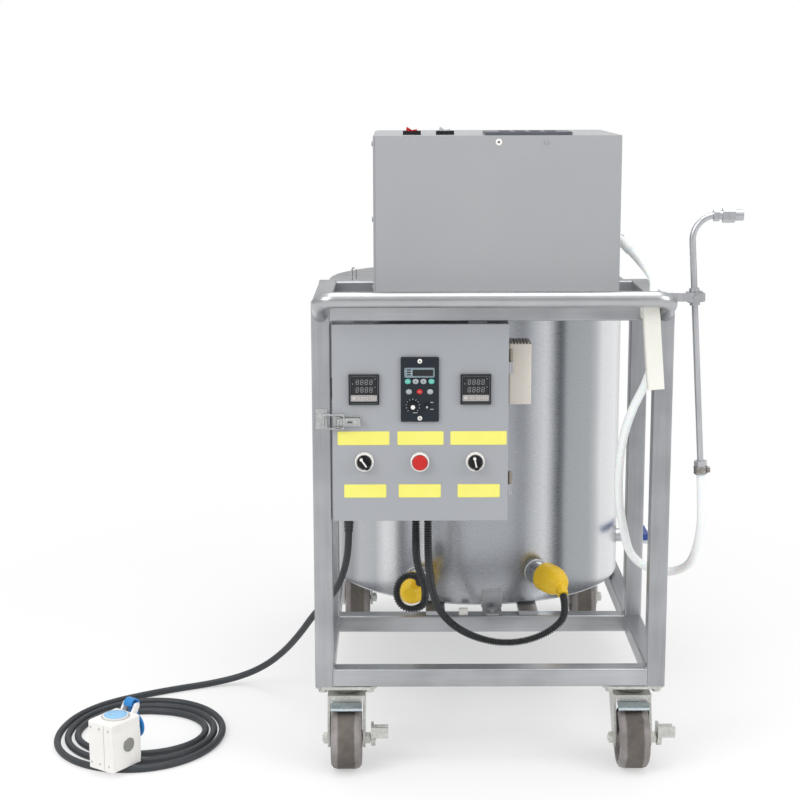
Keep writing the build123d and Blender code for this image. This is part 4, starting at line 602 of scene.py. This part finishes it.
def seven(build, x, z, w, h):
    """One figure eight of seven bevelled bars, as a display shows it unlit, leaning to the right."""
    lean = 0.08
    thick = 0.17 * w
    gap = 0.06 * w

    def bar_at(cx, cz, half, upright):
        ends = [(-half, 0), (thick / 2 - half, thick / 2), (half - thick / 2, thick / 2), (half, 0),
                (half - thick / 2, -thick / 2), (thick / 2 - half, -thick / 2)]
        rows = []
        for depth in (0.0, 0.12):
            row = []
            for p, q in ends:
                px, pz = (cx + q, cz + p) if upright else (cx + p, cz + q)
                row.append(at(x + px + lean * pz, DIGIT_Y - depth, z + pz))
            rows.append(row if upright else row[::-1])
        build.grid(rows)

    for level in (-h / 2, 0, h / 2):
        bar_at(0, level, w / 2 - gap, False)
    for side in (-w / 2, w / 2):
        for level in (-h / 4, h / 4):
            bar_at(side, level, h / 4 - gap, True)


def temp_controllers(inks):
    """Window with two rows of four digits, thin outline, and key strip of both temperature controllers."""
    windows, digits, strips, keys, outlines = (Build() for _ in range(5))
    digit_pitch = 7.15
    key_pitch = 9.8
    for cx in (LEFT_X, RIGHT_X):
        front_pad(windows, cx, WINDOW_Y, ROW_Z + 6.3, 19.6, 13.9, [(1, 0), (1, 0.3)], 40, 48)
        rim(outlines, cx, BEZEL_Y, ROW_Z, 21.4, 21.4, 0.7, 0.12)
        for k in range(4):
            for level in (12.1, 0):
                seven(digits, cx - 10.2 + digit_pitch * k, ROW_Z + level, 4.0, 7.4)
        front_pad(strips, cx, BEZEL_Y, ROW_Z - 13.2, 20.6, 5.0, [(1, 0), (1, 0.45), (0.985, 0.55)], 14, 40)
        first_key = cx - 15.6
        for k in range(4):
            front_pad(keys, first_key + key_pitch * k, BEZEL_Y - 0.4, ROW_Z - 13, 3.4, 2.8,
                      [(1, 0), (1, 0.55), (0.86, 0.75), (0.5, 0.8)], 5, 28)
        for k, angle in ((1, 180), (2, -90), (3, 90)):
            arrow(inks, first_key + key_pitch * k, BEZEL_Y - 1.3, ROW_Z - 13, 1.5, angle)
        for dx, dz in ((17.5, 17.3), (17.5, 4.2), (-17.6, 9.4)):
            bar(digits, cx + dx, DIGIT_Y, ROW_Z + dz, 0.9, 0.45, 0, 0.2)
    digits.make("ghost_digits", "ghost", "door", smooth=False)
    windows.make("display_windows", "glass", "door")
    strips.make("key_strips", "silver", "door")
    keys.make("controller_keys", "key_pale", "door")
    outlines.make("bezel_outlines", "outline", "door", smooth=False)


def speed_screen():
    """The mixer speed controller's display in its pale frame."""
    display = Build()
    front_pad(display, CENTRE_X + 4.85, SCREEN_Y, ROW_Z + 26.7, 16.1, 5.0, [(1, 0), (1, 0.5)], 24, 40)
    for dz in (31.3, 27.5, 23.6):
        bar(display, CENTRE_X - 17.2, SCREEN_Y, ROW_Z + dz, 3.2, 0.9, 0, 0.5)
    display.make("speed_display", "glass", "door")
    surround = Build()
    x = CENTRE_X - 0.5
    z = ROW_Z + 27.05
    rim(surround, x, CONSOLE_Y, z, 23.2, 7.3, 0.9, 0.25)
    front_pad(surround, x, SCREEN_Y + 0.05, z, 23.3, 7.3, [(1, 0), (1, 0.2)], 40, 40)
    surround.make("speed_display_frame", "frame_blue", "door", smooth=False)


def speed_keys(inks, marks):
    """The mixer speed controller's seven domed keys, five with a dash on them and two with an arrow."""
    key_y = CONSOLE_Y - 0.2
    sign_y = BEZEL_Y + 0.05
    go = ((-18.9, 13.2), (18.3, 13.2))
    step = ((-6.6, 13.2), (5.7, 13.2))
    aside = ((-17.2, -3.2), (16.2, -3.2))
    halt = ((-0.2, -3.2),)
    for label, mat, spots in (("go", "teal", go), ("set", "key_grey", step + aside), ("halt", "red", halt)):
        buttons = Build()
        for dx, dz in spots:
            front_pad(buttons, CENTRE_X + dx, key_y, ROW_Z + dz, 4.7, 4.1, KEY_DOME, 2.2, 32)
        buttons.make("speed_keys_" + label, mat, "door")
    arrow(inks, CENTRE_X - 6.6, sign_y, ROW_Z + 13.0, 1.7, 90)
    arrow(inks, CENTRE_X + 5.7, sign_y, ROW_Z + 13.4, 1.7, -90)
    for dx, dz in go + aside + halt:
        bar(marks, CENTRE_X + dx, sign_y, ROW_Z + dz, 1.9, 0.35, 0, 0.12)


def dial_marks(marks):
    """Eleven ticks round the speed dial, 27 degrees apart, and three plain dashes for its words."""
    for k in range(11):
        angle = 225 - 27 * k
        c = math.cos(math.radians(angle))
        n = math.sin(math.radians(angle))
        bar(marks, DIAL_X + 10.6 * c, CONSOLE_Y, DIAL_Z + 10.6 * n, 1.1, 0.35, angle, 0.12)
    for dx, dz, half in ((19, -20.5, 2.2), (19, -31.5, 2.6), (-7, -37, 3.4)):
        bar(marks, CENTRE_X + dx, CONSOLE_Y, ROW_Z + dz, half, 0.5, 0, 0.12)


def controller_screws():
    """The console's two screws with painted shade in their hollows, painted shade in the toggle's slot, and
    the knob's white cap.
    """
    screws = Build()
    hollows = Build()
    for side in (-1, 1):
        z = ROW_Z + side * 45.5
        front_pad(screws, CENTRE_X, CONSOLE_Y - 1.3, z, 3.7, 3.7,
                  [(1, 0), (1, 0.4), (0.8, 0.8), (0.45, 0.85)])
        # painted shade: near-black discs in the screw heads' hollows and an oval in the toggle's slot
        front_pad(hollows, CENTRE_X, BEZEL_Y - 0.1, z, 1.3, 1.3, [(1, 0), (0.9, 0.15)], 2.0, 20)
    front_pad(hollows, CENTRE_X + 11, CONSOLE_Y, DIAL_Z, 3.4, 5.2, [(1, 0), (1, 0.15)], 8, 32)
    screws.make("controller_screws", "white", "door")
    hollows.make("screw_hollow_shade", "dark", "door")
    cap = Build()
    front_pad(cap, DIAL_X, -21, DIAL_Z, 3.4, 3.4, [(1, 0), (1, 0.7), (0.8, 1.0), (0.3, 1.1)])
    cap.make("knob_cap", "white", "speed_knob")


def instruments():
    """Both kinds of controller, which share the pieces that hold their printed signs."""
    inks = Build()
    marks = Build()
    temp_controllers(inks)
    speed_screen()
    speed_keys(inks, marks)
    dial_marks(marks)
    marks.make("dial_marks", "ink", "door", smooth=False)
    inks.make("key_arrows", "outline", "door", smooth=False)
    controller_screws()


def switches():
    """White rings round the three switches, and the selector knobs' pointers and tails."""
    rings = Build()
    for cx, depth in ((LEFT_X, 3.6), (RIGHT_X, 3.6), (CENTRE_X, 5.0)):
        annulus(rings, cx, WINDOW_Y - 0.02, SWITCH_Z, 12.3, 14.6, depth)
    rings.make("switch_rings", "white", "door", angle=0.9)
    knob_y = -23
    tail_y = -16
    for name, cx, tilt in (("selector_left", LEFT_X, -35), ("selector_right", RIGHT_X, -12)):
        c = math.cos(math.radians(tilt))
        n = math.sin(math.radians(tilt))
        pointer = Build()
        bar(pointer, cx + 1.2 * n, knob_y, SWITCH_Z + 1.2 * c, 7.6, 1.15, 90 - tilt, 0.25)
        front_pad(pointer, cx + 8.0 * n, knob_y, SWITCH_Z + 8.0 * c, 2.5, 2.5,
                  [(1, 0), (1, 0.3), (0.7, 0.5)], 2.0, 24)
        pointer.make(name + "_pointer", "white", name)
        tail = Build()
        tail.pad(at(cx - 8.6 * n, tail_y, SWITCH_Z - 8.6 * c), X * c - Z * n, X * n + Z * c, -Y, 3.9, 3.1,
                 [(1, 0), (1, 6.2), (0.85, 7.2)], 3.0, 28)
        tail.make(name + "_tail", "black", name)


door_labels()
instruments()
switches()


# Small fittings on the cart
def breaker_slot_shade():
    """Painted shade in the five slots between the ribs on the breaker's top, as brown pads."""
    slots = Build()
    # painted shade: each slot is a flat brown pad, not an opening
    for k in range(5):
        slots.pad(at(36 + 5 * k, 56, 703.5), X, Y, Z, 1.3, 25, [(1, 0), (1, 0.3)], 20, 24)
    slots.make("breaker_slot_shade", "brown", "cart")


def housing_screw():
    """The pump housing's front screw, over a white washer."""
    spot = (7.5, 3.98, 1021)
    washer = Build()
    annulus(washer, *spot, 1.9, 5.2, 1.0)
    washer.make("housing_washer", "white", "cart", angle=0.9)
    core = Build()
    front_pad(core, *spot, 1.85, 1.85, [(1, 0), (1, 0.5)], 2, 24)
    core.make("housing_screw", "outline", "cart")


def joint_block():
    """The white cover of the joint block on the cage's rear bottom rail."""
    block = Build()
    block.pad(at(-33, 290, 172.2), X, Y, Z, 8, 6, [(1, 0), (1, 9.6), (0.9, 10.6)], 9, 40)
    block.make("joint_block", "white", "cart")


def post_plugs():
    """Plates that close the tops of the four posts."""
    plugs = Build()
    for x in (-270, 270):
        for y in (15, 294):
            plugs.pad(at(x, y, 772.4), X, Y, Z, 13.3, 13.3, [(1, 0), (1, 1.4)], 14, 40)
    plugs.make("post_plugs", "post", "cart")


breaker_slot_shade()
housing_screw()
joint_block()
post_plugs()

# Weld beads: each heater's seat as a place on the tank's wall and the way its axis runs out of it, and the
# radii of the beads round the seats and of the wall they lie on
SEATS = (((100, 334.75, 238), (0.5212, -0.8506, -0.0698)),
         ((-116, 341.56, 222), (-0.1732, -0.9824, -0.0698)))
SEAT_RADIUS = 21.2
WALL_RADIUS = 276.4


def bead(build, points, r):
    """Weld bead along a line in design millimetres: radius r (1 + 0.14 cos(2 pi s / pitch)), ten sides."""
    pitch = 2.6
    line = np.array(points, float)
    want = np.arange(0, run_of(line)[-1], pitch / 4)
    radii = r * (1 + 0.14 * np.cos(2 * np.pi * want / pitch)) * MM
    build.grid(rings_along((points_at(line, want) + SHIFT) * MM, radii, 10))


def seat_ring(spot, out):
    """A circle round a heater's axis, each of its points carried along the axis to the tank's wall."""
    out = np.array(out) / np.linalg.norm(out)
    u = np.cross(out, Z)
    u /= np.linalg.norm(u)
    v = np.cross(u, out)
    flat = out[:2]
    ring = []
    for t in np.linspace(0, 2 * np.pi, 60):
        p = np.array(spot) + SEAT_RADIUS * (math.cos(t) * u + math.sin(t) * v)
        q = p[:2] - np.array([0, TANK_Y])
        k = flat.dot(flat)
        m = q.dot(flat)
        reach = (-m + math.sqrt(max(m * m - k * (q.dot(q) - WALL_RADIUS ** 2), 0))) / k
        ring.append(p + reach * out)
    return ring


def weld_beads():
    """Beads where rails meet posts, round the tank's front lug and round both heater seats."""
    welds = Build()
    for side in (-1, 1):
        x = side * (POST_INNER_X - 0.2)
        for z in (172.3, 743.7):
            bead(welds, [(x, 2, z), (x, 28, z)], 1.5)
            bead(welds, [(x, 281, z), (x, 307, z)], 1.5)
        bead(welds, [(x, 30.3, 745), (x, 30.3, 773)], 1.3)
        for z in (143, 744):
            bead(welds, [(side * POST_INNER_X, 0.1, z), (side * POST_INNER_X, 0.1, z + 28)], 0.8)
    for x, y in ((1.6, 315.6), (36.4, 317.8)):
        bead(welds, [(x, y, 177), (x, y, 208)], 1.6)
    bead(welds, [(2, 315.4, 208.6), (19, 315.4, 208.6), (36, 317.2, 208.6)], 1.6)
    for spot, out in SEATS:
        bead(welds, seat_ring(spot, out), 1.7)
    welds.make("weld_beads", "bead", "cart", angle=2.0)


weld_beads()

# Front casters: the underside of the brake shoe as (y, z), and the way it runs at each of those points
SHOE_LINE = [(-9, 103.6), (-6, 105.8), (3, 107.6), (12, 108.8)]
SHOE_WAYS = [(0.7, 0.71), (0.9, 0.43), (0.98, 0.19), (0.99, 0.13)]
SHOE_HALF = 25.5
SHOE_THICK = 2.2


def front_caster(name, cx):
    """The bent brake shoe between the fork's legs, over the wheel, and the fork's pale apron above it."""
    rows = []
    for (y, z), (dy, dz) in zip(SHOE_LINE, SHOE_WAYS):
        top_y = y - SHOE_THICK * dz
        top_z = z + SHOE_THICK * dy
        rows.append([at(cx + SHOE_HALF, y, z), at(cx - SHOE_HALF, y, z), at(cx - SHOE_HALF, top_y, top_z),
                     at(cx + SHOE_HALF, top_y, top_z)])
    Build().grid(rows).make(name + "_brake_shoe", "shoe", name, smooth=False)
    apron = Build()
    front_pad(apron, cx, 15.3, 115.6, 26.2, 6.4, [(1, 0), (1, 0.9), (0.985, 1.1)], 24, 40)
    apron.make(name + "_apron", "fork", name)


front_caster("fork_fl", -WHEEL_X)
front_caster("fork_fr", WHEEL_X)


# Ends of the cords
def boot(name, points, r0, r1, length, mat="sheath", rings=5):
    """Tapered sleeve round a cord: radius from r0 to r1, stepped down past its collar or cut by grooves."""
    line, run = resample(centreline(points), 0.0006)
    keep = run <= length * MM
    line = line[keep]
    part = run[keep] / run[keep][-1]
    groove = (np.cos(2 * np.pi * rings * part) > 0.35) * (part > 0.15)
    radii = (r0 + (r1 - r0) * part - 0.7 * groove) * MM
    Build().grid(rings_along(line, radii, 24)).make(name, mat, "cart", angle=0.5)


def foot_clamp():
    """The worm clamp that holds the hose on the lance's foot, with its screw's box."""
    foot = np.array([334.5, 15.0, 512.0])
    up = np.array([-0.06434, 0, 0.99793])
    east = np.cross(Y, up)
    clamp = Build()
    clamp.pad(at(*(foot - 16 * up)), east, Y, up, 11.0, 11.0,
              [(1, 0), (1.05, 1), (1.0, 2), (1.0, 9), (1.05, 10), (1, 11)], 2, 40)
    clamp.pad(at(*(foot - 10.5 * up + 9 * east - 4 * Y)), up, -Y, east, 4.5, 4,
              [(1, 0), (1, 4.5), (0.85, 5)], 4, 28)
    clamp.make("foot_hose_clamp", "clamp", "lance", angle=0.9)


ELBOW = [(198.6, 70, 865), (206, 70, 865), (212.8, 65.6, 857.6), (219.7, 61.2, 850.2), (224.7, 58, 844.8)]
boot("supply_strain_relief", HANGING[:5], 9.2, 6.9, 34)
boot("plug_strain_relief", TAIL[::-1][:4], 9.0, 6.9, 30, "white")
boot("elbow_sleeve", ELBOW, 9.3, 8.9, 32, "hose", 0)
foot_clamp()

# Socket box on the cord's end: its place on the floor, its turn and its own two level axes
PLUG_PLACE = np.array([-615.3, -1.5, 12.0])
PLUG_TURN = math.radians(54.7)
PX = np.array([math.cos(PLUG_TURN), math.sin(PLUG_TURN), 0])
PY = np.array([-math.sin(PLUG_TURN), math.cos(PLUG_TURN), 0])
PLUG_SIDE_X = -33.5
PLUG_FRONT_Y = -27


def plug_at(x, y, z):
    """A point given in the socket box's own millimetres, in row metres."""
    return at(*(PLUG_PLACE + x * PX + y * PY + z * Z))


def socket_box():
    """The box's seam and a square on its top, both in painted shadow, its raised panel, knock-out disc,
    screws and socket face.
    """
    seam = Build()
    # painted shadow: a thin grey line down the box's side seam and a grey square round the socket face
    seam.pad(plug_at(PLUG_SIDE_X, -9, 40), Z, PY, -PX, 38, 0.45, [(1, 0), (1, 0.15)], 20, 24)
    seam.pad(plug_at(4, 0, 81), PX, PY, Z, 23.5, 23.5, [(1, 0), (1, 0.3)], 2, 48)
    seam.make("plug_seam_shadow", "seam", "cart")
    panel = Build()
    panel.pad(plug_at(1.5, PLUG_FRONT_Y, 33), PX, Z, -PY, 30, 31,
              [(1, 0), (1, 0.6), (0.985, 1.2), (0.965, 1.4), (0.46, 1.4), (0.44, 0.4)], 9, 64)
    panel.make("plug_panel", "white", "cart")
    disc = Build()
    disc.pad(plug_at(4, PLUG_FRONT_Y, 38), PX, Z, -PY, 11.6, 11.6, [(1, 0), (1, 1.75), (0.94, 1.95)], 2, 40)
    disc.make("plug_knockout", "disc", "cart")
    screws = Build()
    head = [(1, 0), (0.95, 0.5), (0.5, 0.5)]
    for y in (-19, 1, 20):
        for z in (10, 70):
            screws.pad(plug_at(PLUG_SIDE_X, y, z), Z, PY, -PX, 2.1, 2.1, head, 2, 20)
    screws.make("plug_screws", "grey", "cart")
    face = Build()
    face.pad(plug_at(4, 0, 83.5), PX, PY, Z, 19, 19, [(1, 0), (1, 0.8), (0.95, 1.2)], 2, 48)
    face.make("socket_face", "pale_blue", "cart")


def flap_roll():
    """The flap's rolled hinge: a strip bent through 210 degrees about the hinge's axis."""
    half = 8.2
    rows = []
    for k in range(15):
        t = math.radians(15 * k - 30)
        rows.append([plug_at(41.5 + r * math.cos(t), y, 90 + r * math.sin(t))
                     for r, y in ((8.2, -half), (11.0, -half), (11.0, half), (8.2, half))])
    Build().grid(rows).make("flap_roll", "blue", "plug_flap", smooth=False)


socket_box()
flap_roll()


# Floor, lights, world and camera
def studio_floor():
    """Pale floor that takes a soft shadow near the cart and glows white away from it.

    The glow grows outwards from x = -middle_x by ovals, longer along Y, round the cart and its coil."""
    white = (1, 1, 1, 1)
    middle_x = 0.15
    narrow_x = 0.75
    narrow_y = 0.6
    data = bpy.data.meshes.new("floor")
    data.from_pydata([(-9, -9, 0), (9, -9, 0), (9, 14, 0), (-9, 14, 0)], [], [(0, 1, 2, 3)])
    floor = bpy.data.objects.new("floor", data)
    bpy.context.scene.collection.objects.link(floor)
    g = Graph("studio_floor", "#F4F4F4", 0.9)
    dx = g.math("MULTIPLY", g.math("ADD", g.split(g.coords, 0), middle_x), narrow_x)
    dy = g.math("MULTIPLY", g.split(g.coords, 1), narrow_y)
    far = g.math("SQRT", g.math("ADD", g.math("MULTIPLY", dx, dx), g.math("MULTIPLY", dy, dy)))
    glow = g.add("ShaderNodeEmission", {"Color": white, "Strength": 1.0}).outputs[0]
    share = g.spread(far, 0.45, 1.0, 0.3, 0.95)
    both = g.add("ShaderNodeMixShader", {0: share, 1: g.shader.outputs[0], 2: glow})
    g.tree.links.new(both.outputs[0], g.tree.nodes["Material Output"].inputs["Surface"])
    data.materials.append(g.mat)


def soft_light(name, place, target, size, power):
    """One white rectangular lamp that looks at a target."""
    lamp = bpy.data.lights.new(name, "AREA")
    lamp.shape = "RECTANGLE"
    lamp.size, lamp.size_y = size
    lamp.energy = power
    obj = bpy.data.objects.new(name, lamp)
    obj.location = place
    obj.rotation_mode = "QUATERNION"
    obj.rotation_quaternion = (Vector(target) - Vector(place)).to_track_quat("-Z", "Y")
    bpy.context.scene.collection.objects.link(obj)


def studio_world():
    """White behind the cart, even light on it, and in its reflections a band of tones by the height."""
    world = bpy.data.worlds.new("studio")
    bpy.context.scene.world = world
    world.use_nodes = True
    w = Tree(world.node_tree)
    for node in list(w.tree.nodes):
        w.tree.nodes.remove(node)
    rays = w.add("ShaderNodeLightPath").outputs
    direct = w.math("MAXIMUM", rays["Is Camera Ray"], rays["Is Transmission Ray"])
    height = w.split(w.add("ShaderNodeTexCoord").outputs["Generated"], 2)
    band = w.add("ShaderNodeValToRGB", {"Fac": w.spread(height, 0.0, 1.0, -1.0, 1.0)})
    ramp = band.color_ramp
    for place, level in ((0.0, 0.55), (0.46, 0.42), (0.56, 0.62), (0.75, 1.0), (1.0, 0.8)):
        stop = ramp.elements.new(place)
        stop.color = (level, level, level, 1)
    ramp.elements.remove(ramp.elements[0])
    ramp.elements.remove(ramp.elements[-1])
    white = (1, 1, 1, 1)
    ambient = w.add("ShaderNodeBackground", {"Color": white, "Strength": 0.62}).outputs[0]
    studio = w.add("ShaderNodeBackground", {"Color": band.outputs[0], "Strength": 0.85}).outputs[0]
    behind = w.add("ShaderNodeBackground", {"Color": white, "Strength": 1.0}).outputs[0]
    lit = w.add("ShaderNodeMixShader", {0: rays["Is Glossy Ray"], 1: ambient, 2: studio}).outputs[0]
    whole = w.add("ShaderNodeMixShader", {0: direct, 1: lit, 2: behind}).outputs[0]
    w.add("ShaderNodeOutputWorld", {"Surface": whole})


def studio_camera():
    """The photograph's view: a long lens, tilted down and rolled a little."""
    tilt = 10.72
    roll = -0.16
    data = bpy.data.cameras.new("camera")
    data.lens = 76.0
    data.sensor_width = 36.0
    data.clip_end = 60
    camera = bpy.data.objects.new("camera", data)
    camera.location = (-0.1977, -3.02355, 1.1149)
    turn = Matrix.Rotation(math.radians(90 - tilt), 3, "X") @ Matrix.Rotation(math.radians(roll), 3, "Z")
    camera.rotation_mode = "QUATERNION"
    camera.rotation_quaternion = turn.to_quaternion()
    bpy.context.scene.collection.objects.link(camera)
    bpy.context.scene.camera = camera
    bpy.context.scene.view_settings.view_transform = "Standard"


studio_floor()
soft_light("key_left", (-2.4, -2.2, 2.4), (0, 0, 0.5), (1.8, 1.8), 42)
soft_light("fill_right", (2.6, -1.8, 1.9), (0, 0, 0.5), (1.6, 1.8), 30)
soft_light("top_soft", (0, -0.3, 3.2), (0, 0, 0.4), (2.6, 2.6), 48)
studio_world()
studio_camera()

bpy.context.view_layer.update()
